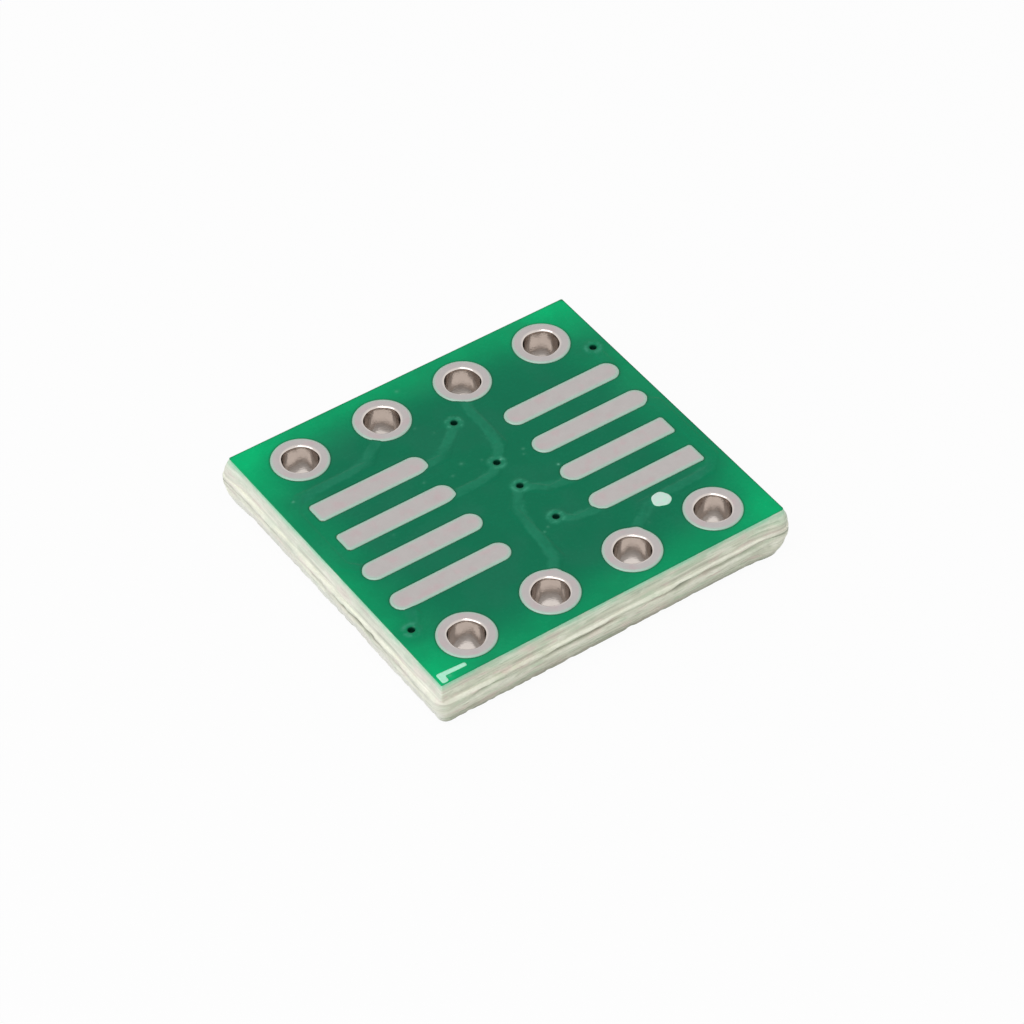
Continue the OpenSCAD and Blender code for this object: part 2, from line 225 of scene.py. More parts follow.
def inside(points: Array, loop: Array) -> Array:
    """Which points lie inside a closed loop: those with an odd number of its edges to their right.

    Args:
        points: Places to test.
        loop: The loop's points in order.

    Returns:
        True for each point inside.
    """
    found = np.zeros(len(points), bool)
    low, high = loop.min(axis=0), loop.max(axis=0)
    near = np.all((points >= low) & (points <= high), axis=1)
    x, y = points[near, 0][:, None], points[near, 1][:, None]
    start, end = loop[None], np.roll(loop, -1, axis=0)[None]
    spans = (start[..., 1] > y) != (end[..., 1] > y)
    rise = np.where(end[..., 1] == start[..., 1], 1.0, end[..., 1] - start[..., 1])
    crossing = start[..., 0] + (y - start[..., 1]) / rise * (end[..., 0] - start[..., 0])
    found[near] = (np.count_nonzero(spans & (x < crossing), axis=1) % 2) == 1
    return found


@dataclass
class Sheet:
    """A flat sheet of triangles between loops: an outline, holes, inner lines and free points."""

    outline: Array
    holes: list[Array]
    lines: list[Array] = field(default_factory=list)
    free: Array = field(default_factory=lambda: np.zeros((0, 2)))

    def triangles(self) -> tuple[Array, Array, list[Array]]:
        """Triangulates by Delaunay's rule with the loops as fixed edges, and opens the holes.

        Returns:
            The points, the triangles (counter-clockwise) and for the outline and each hole the
            indices of its points.
        """
        loops = [self.outline, *self.holes, *self.lines]
        starts = np.cumsum([0, *map(len, loops)])
        edges = np.concatenate([strip(row, row)[:, :2] for row in map(np.arange, starts[:-1], starts[1:])])
        given = np.concatenate([*loops, self.free])
        made = delaunay_2d_cdt(given.tolist(), edges.tolist(), [], 0, 1e-7)
        points = np.array([tuple(p) for p in made[0]])
        faces = np.array(made[2])
        centre = points[faces].mean(axis=1)
        keep = inside(centre, self.outline)
        for hole in self.holes:
            keep &= ~inside(centre, hole)
        place = np.zeros(len(given), int)
        for new, old in enumerate(made[3]):
            place[old] = new
        rims = [place[start:end] for start, end in zip(starts[:-1], starts[1 : 2 + len(self.holes)])]
        return points, faces[keep], rims


# Outlines of the exposed copper


@dataclass(frozen=True)
class Swell:
    """A soft spot where an outline stands out, such as where a track leaves a ring."""

    place: Point
    width: float
    height: float

    def at(self, x: Array, y: Array) -> Array:
        """How far the outline stands out: its height times a bell curve of the distance."""
        return self.height * np.exp(-((x - self.place[0]) ** 2 + (y - self.place[1]) ** 2) / self.width**2)


@dataclass(frozen=True)
class Outline:
    """A closed outline that can be drawn at any distance outside or inside itself."""

    swells: tuple[Swell, ...] = ()

    def plain_loop(self, margin: float) -> Array:
        """The outline at a distance, before its swells. Each kind of outline has its own."""
        raise NotImplementedError

    def plain_distance(self, x: Array, y: Array) -> Array:
        """Distance to the outline before its swells, negative inside. Each kind has its own."""
        raise NotImplementedError

    def loop(self, margin: float) -> Array:
        """The outline at a distance, pushed outwards at its swells.

        Args:
            margin: Distance outside the outline, or inside where it is negative.

        Returns:
            Its points, counter-clockwise.
        """
        points = self.plain_loop(margin)
        along = np.roll(points, -1, axis=0) - np.roll(points, 1, axis=0)
        outward = np.stack([along[:, 1], -along[:, 0]], axis=1)
        outward /= np.linalg.norm(outward, axis=1)[:, None]
        push = sum((swell.at(points[:, 0], points[:, 1]) for swell in self.swells), np.zeros(len(points)))
        return points + outward * push[:, None]

    def distance(self, x: Array, y: Array) -> Array:
        """Distance to the outline with its swells, negative inside."""
        return self.plain_distance(x, y) - sum((swell.at(x, y) for swell in self.swells), np.zeros(x.shape))


@dataclass(frozen=True)
class RingOutline(Outline):
    """Round outline of a header hole's ring or a via."""

    centre: Point = (0.0, 0.0)
    radius: float = 1.0
    steps: int = 96

    def plain_loop(self, margin: float) -> Array:
        """A circle with the margin added to its radius."""
        angle = np.linspace(0.0, 2.0 * math.pi, self.steps, endpoint=False)
        ring = np.stack([np.cos(angle), np.sin(angle)], axis=1)
        return np.array(self.centre) + (self.radius + margin) * ring

    def plain_distance(self, x: Array, y: Array) -> Array:
        """Distance to the centre less the radius."""
        return np.hypot(x - self.centre[0], y - self.centre[1]) - self.radius


@dataclass(frozen=True)
class BarOutline(Outline):
    """Outline of a land: a bar with a round inner end and an outer end with two corner radii."""

    inner: Point = (0.0, 0.0)
    way: int = 1
    length: float = 1.0
    width: float = 1.0
    inner_radius: float = 0.5
    outer_radius: float = 0.5
    arc_steps: int = 14
    side_steps: int = 24
    end_steps: int = 7

    def plain_loop(self, margin: float) -> Array:
        """Four quarter circles with straight sides between them, at the margin outside."""
        half = self.width / 2.0 + margin
        inner = max(self.inner_radius + margin, 0.004)
        outer = max(self.outer_radius + margin, 0.004)
        far = self.length + margin
        quarter = np.linspace(0.0, math.pi / 2.0, self.arc_steps)
        corners = (
            (far - outer, outer - half, outer, -math.pi / 2.0),
            (far - outer, half - outer, outer, 0.0),
            (inner - margin, half - inner, inner, math.pi / 2.0),
            (inner - margin, inner - half, inner, math.pi),
        )
        arcs = [
            np.stack([x + r * np.cos(quarter + turn), y + r * np.sin(quarter + turn)], axis=1)
            for x, y, r, turn in corners
        ]
        parts = []
        for arc, after in zip(arcs, arcs[1:] + arcs[:1]):
            gap = float(np.linalg.norm(after[0] - arc[-1]))
            parts.append(arc if gap > 1e-6 else arc[:-1])
            steps = self.side_steps if gap > self.width else self.end_steps
            if gap > 0.1:
                share = np.linspace(0.0, 1.0, steps + 2)[1:-1, None]
                parts.append(arc[-1] + share * (after[0] - arc[-1]))
        loop = np.concatenate(parts)
        return np.array(self.inner) + loop * self.way

    def plain_distance(self, x: Array, y: Array) -> Array:
        """The larger of two distances: to a bar round at its inner end, and to one at its outer end."""
        u, v = (x - self.inner[0]) * self.way, np.abs(y - self.inner[1])
        found = []
        for ahead, radius in ((-u, self.inner_radius), (u - self.length, self.outer_radius)):
            along, across = ahead + radius, v - (self.width / 2.0 - radius)
            corner = np.hypot(np.maximum(along, 0.0), np.maximum(across, 0.0))
            found.append(corner + np.minimum(np.maximum(along, across), 0.0) - radius)
        return np.maximum(*found)


# The board's layout


@dataclass(frozen=True)
class Layout:
    """Where the copper lies, in millimetres from the middle of the board, as in the CAD source."""

    pitch: float = 2.54
    rows: int = 4
    row_y: float = 3.81
    grid_shift: float = -0.04
    hole_radius: float = 0.5
    barrel_radius: float = 0.52
    drill_radius: float = 0.545
    ring_radius: float = 0.77
    track_width: float = 0.25
    edge_track_inset: float = 0.28
    track_corner: float = 0.4
    track_clearance: float = 0.145
    wide_pitch: float = 1.27
    wide_width: float = 0.64
    wide_inner: float = 1.29
    wide_end_margin: float = 0.45
    wide_cut_radius: float = 0.08
    worn_cut_radius: float = 0.11
    exit_step: float = 0.192
    land_shift: float = 0.07
    fine_pitch: float = 0.65
    fine_width: float = 0.35
    fine_inner: float = 1.6
    fine_end_margin: float = 1.58
    via_radius: float = 0.25
    via_bore: float = 0.1
    edge_via_margin: float = 0.1
    edge_via_step: float = 0.25
    middle_vias: tuple[tuple[int, float, float], ...] = (
        (1, 0.38, 0.185),
        (2, 0.27, 0.365),
        (6, 0.27, 0.135),
    )
    via_5_x: float = 0.2
    riser_2_x: float = -0.38
    riser_6_x: float = 0.8
    bumped_rings: tuple[int, ...] = (2, 3)
    low: Array = field(default_factory=lambda: np.array(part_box("laminate")[0]) / MM)
    high: Array = field(default_factory=lambda: np.array(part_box("laminate")[1]) / MM)
    top_half: Array = field(default_factory=lambda: np.array(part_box("solder_mask_top")[1])[:2] / MM)
    under_half: Array = field(default_factory=lambda: np.array(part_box("solder_mask_underside")[1])[:2] / MM)
    tin_top: float = field(default_factory=lambda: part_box("wide_land_1_tin")[1].z / MM)

    @property
    def nets(self) -> range:
        """Numbers of the nets, holes and lands."""
        return range(1, 2 * self.rows + 1)

    @property
    def lane_y(self) -> float:
        """Middle of the lane between the rings and the wide-pitch lands."""
        return (self.row_y - self.ring_radius + 1.5 * self.wide_pitch + self.wide_width / 2.0) / 2.0

    @property
    def under_lane_y(self) -> float:
        """Middle of the lane between the rings and the fine-pitch lands."""
        return (self.row_y - self.ring_radius + 1.5 * self.fine_pitch + self.fine_width / 2.0) / 2.0

    @property
    def edge_track_x(self) -> float:
        """Middle of the track along the right side."""
        return float(self.top_half[0]) - self.edge_track_inset

    @property
    def edge_via(self) -> Point:
        """Via of net 4, near the right side."""
        inset = self.edge_via_margin + self.via_radius
        return float(self.under_half[0]) - inset, self.lane_y + self.edge_via_step

    def side(self, n: int) -> int:
        """1 for nets with their hole in the front row and land on the right, -1 for the others."""
        return 1 if n <= self.rows else -1

    def place(self, n: int) -> float:
        """Place of a net in its row, counted from the row's middle."""
        return (n if n <= self.rows else 2 * self.rows + 1 - n) - (self.rows + 1) / 2.0

    def hole(self, n: int) -> Point:
        """Centre of a header hole, seen from the middle of the hole pattern."""
        return self.place(n) * self.pitch, -self.side(n) * self.row_y

    def via(self, n: int) -> Point | None:
        """Centre of a net's via, or None for the nets that have none."""
        for net, x, step in self.middle_vias:
            if net == n:
                return x, self.place(n) * self.wide_pitch + step
        if n == 5:
            return self.via_5_x, self.lane_y
        if n in (4, 8):
            return self.side(n) * self.edge_via[0], self.side(n) * self.edge_via[1]
        return None

    def is_cut(self, n: int) -> bool:
        """Whether a wide-pitch land is cut back for a track that passes its end."""
        return n in (1, 2, 5, 6)

    def wide_ends(self, n: int) -> tuple[float, float]:
        """Distances of a wide-pitch land's two ends from the middle of the pattern."""
        cut = self.edge_track_x - self.track_width / 2.0 - self.track_clearance - self.land_shift
        full = float(self.top_half[0]) - self.wide_end_margin
        return self.wide_inner, cut if self.is_cut(n) else full

    def wide_outline(self, n: int) -> BarOutline:
        """Outline of a wide-pitch land, with a soft spot where its track leaves it."""
        inner, outer = self.wide_ends(n)
        start = self.shifted((self.land_shift + self.side(n) * inner, self.place(n) * self.wide_pitch))
        swells: tuple[Swell, ...] = ()
        if n in (5, 6):
            swells = (Swell((start[0] - 0.05, start[1] - 0.2), 0.11, 0.045),)
        return BarOutline(
            swells, start, self.side(n), outer - inner, self.wide_width, self.wide_width / 2.0,
            (self.wide_cut_radius if n < 5 else self.worn_cut_radius) if self.is_cut(n) else self.wide_width / 2.0,
        )

    def fine_outline(self, n: int) -> BarOutline:
        """Outline of a fine-pitch land."""
        outer = float(self.top_half[0]) - self.fine_end_margin
        start = self.shifted((self.land_shift + self.side(n) * self.fine_inner, self.place(n) * self.fine_pitch))
        return BarOutline(
            (), start, self.side(n), outer - self.fine_inner, self.fine_width, 0.02, 0.02, 5, 12
        )

    def ring_outline(self, n: int, face: Face) -> RingOutline:
        """Outline of a header hole's ring, with a soft spot where a track of that face leaves it."""
        centre = self.shifted(self.hole(n))
        swells = []
        bare = face is Face.TOP and n not in self.bumped_rings
        for route in [] if bare else self.routes(n, face):
            for end, before in ((route[0], route[1]), (route[-1], route[-2])):
                if math.dist(end, self.hole(n)) < 1e-6:
                    away = np.subtract(before, end) / math.dist(before, end)
                    place = np.array(centre) + (self.ring_radius + 0.02) * away
                    swells.append(Swell((float(place[0]), float(place[1])), 0.13, 0.06))
        return RingOutline(tuple(swells), centre, self.ring_radius)

    def shifted(self, place: Point) -> Point:
        """A place given from the middle of the hole pattern, counted from the middle of the board."""
        return place[0], place[1] + self.grid_shift

    def routes(self, n: int, face: Face) -> list[list[Point]]:
        """Tracks of a net on one face, from the middle of the hole pattern.

        Args:
            n: The net.
            face: The face of the board.

        Returns:
            A list of points for each track.
        """
        return self.top_routes(n) if face is Face.TOP else self.under_routes(n)

    def top_routes(self, n: int) -> list[list[Point]]:
        """Tracks of a net on the top face, as `routes` gives them."""
        side, via, hole = self.side(n), self.via(n), self.hole(n)
        y = self.place(n) * self.wide_pitch
        inner, outer = self.wide_ends(n)
        start = (self.land_shift + side * (inner + self.wide_width / 2.0), y - self.exit_step)
        end = (self.land_shift + side * (outer - self.wide_width / 2.0), y)
        if n in (1, 5):
            return [level_then_slant(start, via)]
        if n in (2, 6):
            riser = self.riser_2_x if n == 2 else self.riser_6_x
            turn = (riser, via[1] - side * abs(riser - via[0]))
            last = (riser, hole[1] + side * abs(riser - hole[0]))
            return [level_then_slant(start, via), [via, turn, last, hole]]
        if n == 4:
            return [[end, (via[0], end[1] + via[0] - end[0]), via]]
        if n == 8:
            return [[end, (end[0], via[1] + abs(via[0] - end[0])), via]]
        edge, lane = side * self.edge_track_x, -side * self.lane_y
        return [[
            hole,
            (hole[0] + side * (self.row_y - self.lane_y), lane),
            (edge - side * self.track_corner, lane),
            (edge, lane + side * self.track_corner),
            (edge, end[1] - side * abs(edge - end[0])),
            end,
        ]]

    def under_routes(self, n: int) -> list[list[Point]]:
        """Tracks of a net on the underside, as `routes` gives them."""
        side, via, hole = self.side(n), self.via(n), self.hole(n)
        y = self.place(n) * self.fine_pitch
        outer = float(self.top_half[0]) - self.fine_end_margin
        start = (self.land_shift + side * (self.fine_inner + self.fine_width), y)
        end = (self.land_shift + side * (outer - self.fine_width), y)
        lane = -side * self.under_lane_y
        if n in (1, 5):
            turn = (via[0] - side * abs(self.under_lane_y - abs(via[1])), lane)
            last = (hole[0] + side * abs(lane - hole[1]), lane)
            return [level_then_slant(start, via), [via, turn, last, hole]]
        if n in (2, 6):
            return [level_then_slant(start, via)]
        if n in (4, 8):
            down = (via[0], hole[1] - math.copysign(abs(hole[0] - via[0]), hole[1] - via[1]))
            return [[via, down, hole], [(via[0], y), end]]
        reach = side * self.land_shift + outer + self.edge_via[0] - self.track_width / 2.0
        middle = side * reach / 2.0
        return [[
            hole,
            (hole[0] + side * (self.row_y - self.under_lane_y), lane),
            (middle - side * self.track_corner, lane),
            (middle, lane + side * self.track_corner),
            (middle, y - side * self.track_width),
            (middle - side * self.track_width, y),
            end,
        ]]


def bent(route: Sequence[Point], cut: float) -> list[Point]:
    """A route with its corners cut: each turn gives way to two gentler ones at a distance from it.

    Args:
        route: Points of the route.
        cut: Distance from a turn, at most half the shorter leg beside it.

    Returns:
        The points of the smoother route.
    """
    made = [route[0]]
    for before, turn, after in zip(route, route[1:], route[2:]):
        reach = min(cut, math.dist(before, turn) / 2.0, math.dist(turn, after) / 2.0)
        for other in (before, after):
            share = reach / max(math.dist(turn, other), 1e-9)
            made.append((turn[0] + share * (other[0] - turn[0]), turn[1] + share * (other[1] - turn[1])))
    return [*made, route[-1]]


def level_then_slant(start: Point, end: Point) -> list[Point]:
    """The route with one leg at 45 degrees, after a level leg or before an upright one."""
    dx, dy = end[0] - start[0], end[1] - start[1]
    if abs(dx) > abs(dy):
        return [start, (end[0] - math.copysign(abs(dy), dx), start[1]), end]
    return [start, (end[0], start[1] + math.copysign(abs(dx), dy)), end]


# Node helpers and finishes


class Tree:
    """A material's or group's nodes, with short calls that add and join them."""

    def __init__(self, tree: bpy.types.NodeTree) -> None:
        """Starts with an existing tree."""
        self.tree = tree

    def add(self, kind: str, inputs: dict | None = None, **settings) -> bpy.types.Node:
        """Adds a node.

        Args:
            kind: Blender's type name without its ShaderNode start, or a full type name.
            inputs: Values or sockets for its inputs, by name or number.
            settings: Values for the node's own settings.

        Returns:
            The node.
        """
        node = self.tree.nodes.new(kind if kind.startswith("Node") else "ShaderNode" + kind)
        for name, value in settings.items():
            setattr(node, name, value)
        for name, value in (inputs or {}).items():
            if isinstance(value, bpy.types.NodeSocket):
                self.tree.links.new(value, node.inputs[name])
            else:
                node.inputs[name].default_value = value
        return node

    def value(self, name: str) -> bpy.types.NodeSocket:
        """A value that the piece's points carry."""
        return self.add("Attribute", attribute_name=name).outputs["Fac"]

    def math(self, operation: str, *inputs) -> bpy.types.NodeSocket:
        """A sum on one, two or three values, kept between 0 and 1 only where later nodes do so."""
        return self.add("Math", dict(enumerate(inputs)), operation=operation).outputs[0]

    def range(self, value, low: float, high: float, to_low: float = 0.0, to_high: float = 1.0):
        """Maps a value from one range to another, smoothly, and keeps it inside."""
        inputs = {"Value": value, "From Min": low, "From Max": high, "To Min": to_low, "To Max": to_high}
        return self.add("MapRange", inputs, interpolation_type="SMOOTHSTEP").outputs["Result"]

    def mix(self, share, first, second, blend: str = "MIX") -> bpy.types.NodeSocket:
        """Mixes two colours by a share."""
        def as_input(colour):
            return colour if isinstance(colour, bpy.types.NodeSocket) else (*colour, 1.0)
        node = self.add("Mix", data_type="RGBA", blend_type=blend)
        for number, value in ((0, share), (6, as_input(first)), (7, as_input(second))):
            if isinstance(value, bpy.types.NodeSocket):
                self.tree.links.new(value, node.inputs[number])
            else:
                node.inputs[number].default_value = value
        return node.outputs[2]

    def noise(self, scale: float, detail: float = 3.0, stretch: Colour = (1.0, 1.0, 1.0)) -> bpy.types.NodeSocket:
        """Noise in the object's own millimetres, drawn out along an axis by a smaller factor."""
        place = self.add("TexCoord").outputs["Object"]
        sized = self.add("Mapping", {"Vector": place, "Scale": tuple(s / MM for s in stretch)})
        made = self.add("TexNoise", {"Vector": sized.outputs[0], "Scale": scale, "Detail": detail})
        return made.outputs["Fac"]

    def grain(self, scale: float, share: float) -> bpy.types.Node:
        """The shared fine grain, with its own scale and share."""
        return self.add("Group", {"Scale": scale, "Share": share}, node_tree=grain_group())

    def bump(self, height, distance: float, strength: float = 1.0) -> bpy.types.NodeSocket:
        """A normal from a height, with the relief's full depth in millimetres."""
        inputs = {"Height": height, "Distance": distance * MM, "Strength": strength}
        return self.add("Bump", inputs).outputs["Normal"]


def grain_group() -> bpy.types.NodeTree:
    """The grain that all finishes share: fine and coarse noise, as a value and as an even share.

    Returns:
        The group, made once.
    """
    name = "fine_grain"
    if name in bpy.data.node_groups:
        return bpy.data.node_groups[name]
    group = bpy.data.node_groups.new(name, "ShaderNodeTree")
    for socket, low in (("Scale", 0.0), ("Share", 0.0)):
        made = group.interface.new_socket(socket, in_out="INPUT", socket_type="NodeSocketFloat")
        made.min_value = low
    for socket in ("Grain", "Shade"):
        group.interface.new_socket(socket, in_out="OUTPUT", socket_type="NodeSocketFloat")
    tree = Tree(group)
    given = tree.add("NodeGroupInput").outputs
    place = tree.add("TexCoord").outputs["Object"]
    sized = tree.add("Mapping", {"Vector": place, "Scale": (1.0 / MM,) * 3}).outputs[0]
    fine = tree.add("TexNoise", {"Vector": sized, "Scale": given["Scale"], "Detail": 4.0}).outputs["Fac"]
    coarse_scale = tree.math("MULTIPLY", given["Scale"], 0.17)
    coarse = tree.add("TexNoise", {"Vector": sized, "Scale": coarse_scale, "Detail": 2.0}).outputs["Fac"]
    grain = tree.math("MULTIPLY_ADD", coarse, 0.5, tree.math("MULTIPLY", fine, 0.5))
    # a shade is 1 on average, and the share sets how far the grain moves it
    centred = tree.math("SUBTRACT", grain, 0.5)
    shade = tree.math("ADD", tree.math("MULTIPLY", centred, given["Share"]), 1.0)
    tree.add("NodeGroupOutput", {"Grain": grain, "Shade": shade})
    return group


def new_material(name: str) -> tuple[bpy.types.Material, Tree, bpy.types.Node]:
    """An empty material with its shader.

    Args:
        name: The material's name.

    Returns:
        The material, its tree and its Principled shader.
    """
    material = bpy.data.materials.new(name)
    material.use_nodes = True
    return material, Tree(material.node_tree), material.node_tree.nodes["Principled BSDF"]


def shade_colour(tree: Tree, colour: bpy.types.NodeSocket, shade: bpy.types.NodeSocket) -> bpy.types.NodeSocket:
    """A colour made lighter or darker by a shade around 1."""
    grey = tree.add("CombineColor", {"Red": shade, "Green": shade, "Blue": shade}).outputs[0]
    return tree.mix(1.0, colour, grey, "MULTIPLY")


@dataclass(frozen=True)
class MaskFinish:
    """Glossy green solder mask: deeper over laminate, paler over copper, with painted glow along bare edges, painted
    highlights and painted shade.
    """

    middle: Colour = (0.005, 0.172, 0.082)
    side: Colour = (0.001, 0.495, 0.172)
    track: Colour = (0.015, 0.215, 0.112)
    # painted highlight colour for the edges of tracks and via rings
    shoulder: Colour = (0.045, 0.310, 0.180)
    # painted shade colour for the rim along the sides and round the openings
    border: Colour = (0.014, 0.095, 0.045)
    # painted shade colour inside the via bores
    pit_shade: Colour = (0.001, 0.030, 0.016)
    # colour of real dust and pimples, and of painted glints beside the vias
    dust_and_glint: Colour = (0.16, 0.50, 0.34)
    veil: Colour = (0.012, 0.168, 0.088)
    roughness: float = 0.24
    specular: float = 0.05

    def build(self) -> bpy.types.Material:
        """Makes the material. It reads the values that the mask's points carry."""
        material, tree, shader = new_material("solder_mask")
        patch = tree.noise(2.2)
        base = tree.mix(tree.range(tree.noise(0.7, 2.0), 0.45, 0.62, 0.0, 0.6), self.middle, self.veil)
        # painted light: the glow that enters at the board's sides and corners
        light = tree.math("MULTIPLY", tree.value("side_glow"), tree.range(tree.noise(1.1, 2.0), 0.35, 0.65, 0.88, 1.12))
        colour = tree.mix(light, base, self.side)
        over = tree.math("MULTIPLY", tree.value("copper"), tree.range(patch, 0.3, 0.6, 0.45, 0.95))
        colour = tree.mix(over, colour, self.track)
        # painted highlight along the tracks' edges and round the via rings
        line = tree.math("MULTIPLY", tree.value("shoulder"), tree.range(tree.noise(6.0, 2.0), 0.38, 0.62, 0.05, 0.70))
        colour = tree.mix(line, colour, self.shoulder)
        # painted shade: the dark rim, strongest along the right and back sides, and in the grooves round the openings
        colour = tree.mix(tree.value("border"), colour, self.border)
        # real dust and pimples, and painted glints beside the vias
        colour = tree.mix(tree.value("dust_and_glint"), colour, self.dust_and_glint)
        # painted shade inside the via bores
        colour = tree.mix(tree.value("pit_shade"), colour, self.pit_shade)
        grain = tree.grain(9.0, 0.22)
        tree.tree.links.new(shade_colour(tree, colour, grain.outputs["Shade"]), shader.inputs["Base Color"])
        rough = tree.range(grain.outputs["Grain"], 0.3, 0.7, self.roughness - 0.05, self.roughness + 0.08)
        tree.tree.links.new(rough, shader.inputs["Roughness"])
        tree.tree.links.new(tree.bump(grain.outputs["Grain"], 0.004), shader.inputs["Normal"])
        shader.inputs["Specular IOR Level"].default_value = self.specular
        return material


@dataclass(frozen=True)
class TinFinish:
    """Hot-air levelled tin: a satin pinkish grey with a paler border, smooth inside the holes."""

    name: str
    colour: Colour = (0.485, 0.455, 0.445)
    border: Colour = (0.40, 0.57, 0.47)
    stain: Colour = (0.52, 0.41, 0.42)
    barrel: Colour = (0.70, 0.635, 0.59)
    flat_roughness: float = 0.42
    barrel_roughness: float = 0.055

    def build(self) -> bpy.types.Material:
        """Makes the material. It reads the tin's border and barrel values."""
        material, tree, shader = new_material(self.name)
        blotch = tree.range(tree.noise(2.6, 4.0), 0.50, 0.68)
        colour = tree.mix(tree.math("MULTIPLY", blotch, 0.55), self.colour, self.stain)
        colour = tree.mix(tree.value("border"), colour, self.border)
        colour = tree.mix(tree.value("barrel"), colour, self.barrel)
        grain = tree.grain(24.0, 0.20)
        tree.tree.links.new(shade_colour(tree, colour, grain.outputs["Shade"]), shader.inputs["Base Color"])
        rough = tree.range(tree.value("barrel"), 0.0, 1.0, self.flat_roughness, self.barrel_roughness)
        tree.tree.links.new(rough, shader.inputs["Roughness"])
        tree.tree.links.new(tree.bump(grain.outputs["Grain"], 0.004), shader.inputs["Normal"])
        # a film of mask lies on the border and dulls it
        tree.tree.links.new(tree.range(tree.value("border"), 0.0, 1.0, 1.0, 0.25), shader.inputs["Metallic"])
        shader.inputs["Specular IOR Level"].default_value = 0.2
        return material


@dataclass(frozen=True)
class LaminateFinish:
    """Bare glass cloth and epoxy: pale straw with fibre streaks, pinkish and greenish patches, and painted light and
    shade on its edge.
    """

    colour: Colour = (0.69, 0.715, 0.56)
    pale: Colour = (0.90, 0.91, 0.76)
    dark: Colour = (0.30, 0.31, 0.23)
    pink: Colour = (0.78, 0.655, 0.57)
    green: Colour = (0.55, 0.68, 0.49)
    mint: Colour = (0.33, 0.71, 0.47)
    # colour of the painted light on the left and right sides
    side_lit_colour: Colour = (0.96, 0.965, 0.90)
    roughness: float = 0.5

    def build(self) -> bpy.types.Material:
        """Makes the material. It reads the laminate's painted side light, painted ridge highlight, mint and painted
        hollow shade values.
        """
        material, tree, shader = new_material("laminate")
        # fibres run along the sides, so the noise is drawn out across X and Y and is fine in Z
        fibre = tree.noise(1.0, 5.0, (0.8, 0.8, 16.0))
        bundle = tree.noise(1.0, 3.0, (1.2, 1.2, 4.2))
        patch = tree.noise(1.0, 4.0, (2.2, 2.2, 5.5))
        colour = tree.mix(tree.math("MULTIPLY", tree.range(bundle, 0.52, 0.63), 0.7), self.colour, self.pink)
        colour = tree.mix(tree.math("MULTIPLY", tree.range(bundle, 0.48, 0.38), 0.6), colour, self.green)
        colour = tree.mix(tree.range(fibre, 0.50, 0.68, 0.0, 0.8), colour, self.pale)
        colour = tree.mix(tree.range(fibre, 0.46, 0.34, 0.0, 0.35), colour, self.dark)
        colour = tree.mix(tree.math("MULTIPLY", tree.range(patch, 0.55, 0.66), 0.45), colour, self.pale)
        # painted light: the left and right sides made whiter
        colour = tree.mix(tree.value("painted_side_light"), colour, self.side_lit_colour)
        # painted highlight along the ledge and the web's lower lip
        colour = tree.mix(tree.math("MULTIPLY", tree.value("ridge_highlight"), 0.9), colour, self.pale)
        # painted shade in the split, above the ledge, on the foot and along the bottom edge
        colour = tree.mix(tree.value("hollow_shade"), colour, self.dark)
        ragged = tree.math("MULTIPLY", tree.value("mint"), tree.range(patch, 0.36, 0.60, 0.6, 1.5))
        colour = tree.mix(tree.math("MINIMUM", ragged, 1.0), colour, self.mint)
        grain = tree.grain(14.0, 0.34)
        tree.tree.links.new(shade_colour(tree, colour, grain.outputs["Shade"]), shader.inputs["Base Color"])
        shader.inputs["Roughness"].default_value = self.roughness
        shader.inputs["Specular IOR Level"].default_value = 0.3
        height = tree.math("ADD", fibre, tree.math("MULTIPLY", grain.outputs["Grain"], 0.6))
        calm = tree.math("MULTIPLY", height, tree.range(tree.value("painted_side_light"), 0.0, 0.5, 1.0, 0.5))
        tree.tree.links.new(tree.bump(calm, 0.018), shader.inputs["Normal"])
        return material


@dataclass(frozen=True)
class CopperFinish:
    """Copper foil and plating, seen only at the bottom of the vias and at the tracks' sides."""

    colour: Colour = (0.62, 0.30, 0.17)
    tarnish: Colour = (0.30, 0.14, 0.08)

    def build(self) -> bpy.types.Material:
        """Makes the material."""
        material, tree, shader = new_material("copper")
        grain = tree.grain(18.0, 0.3)
        worn = tree.range(grain.outputs["Grain"], 0.42, 0.6)
        tree.tree.links.new(tree.mix(worn, self.colour, self.tarnish), shader.inputs["Base Color"])
        tree.tree.links.new(tree.range(worn, 0.0, 1.0, 0.3, 0.5), shader.inputs["Roughness"])
        shader.inputs["Metallic"].default_value = 1.0
        return material


@dataclass(frozen=True)
class InkFinish:
    """Printed legend: white with a trace of the green that shows through where it is thin."""

    colour: Colour = (0.62, 0.78, 0.70)
    thin: Colour = (0.30, 0.93, 0.58)

    def build(self) -> bpy.types.Material:
        """Makes the material. It reads the ink's thin value."""
        material, tree, shader = new_material("legend")
        grain = tree.grain(12.0, 0.16)
        worn = tree.math("MULTIPLY", tree.range(grain.outputs["Grain"], 0.5, 0.62), 0.35)
        share = tree.math("MAXIMUM", tree.value("thin"), worn)
        colour = tree.mix(share, self.colour, self.thin)
        tree.tree.links.new(shade_colour(tree, colour, grain.outputs["Shade"]), shader.inputs["Base Color"])
        tree.tree.links.new(tree.bump(grain.outputs["Grain"], 0.006), shader.inputs["Normal"])
        shader.inputs["Roughness"].default_value = 0.5
        return material


# The board's pieces


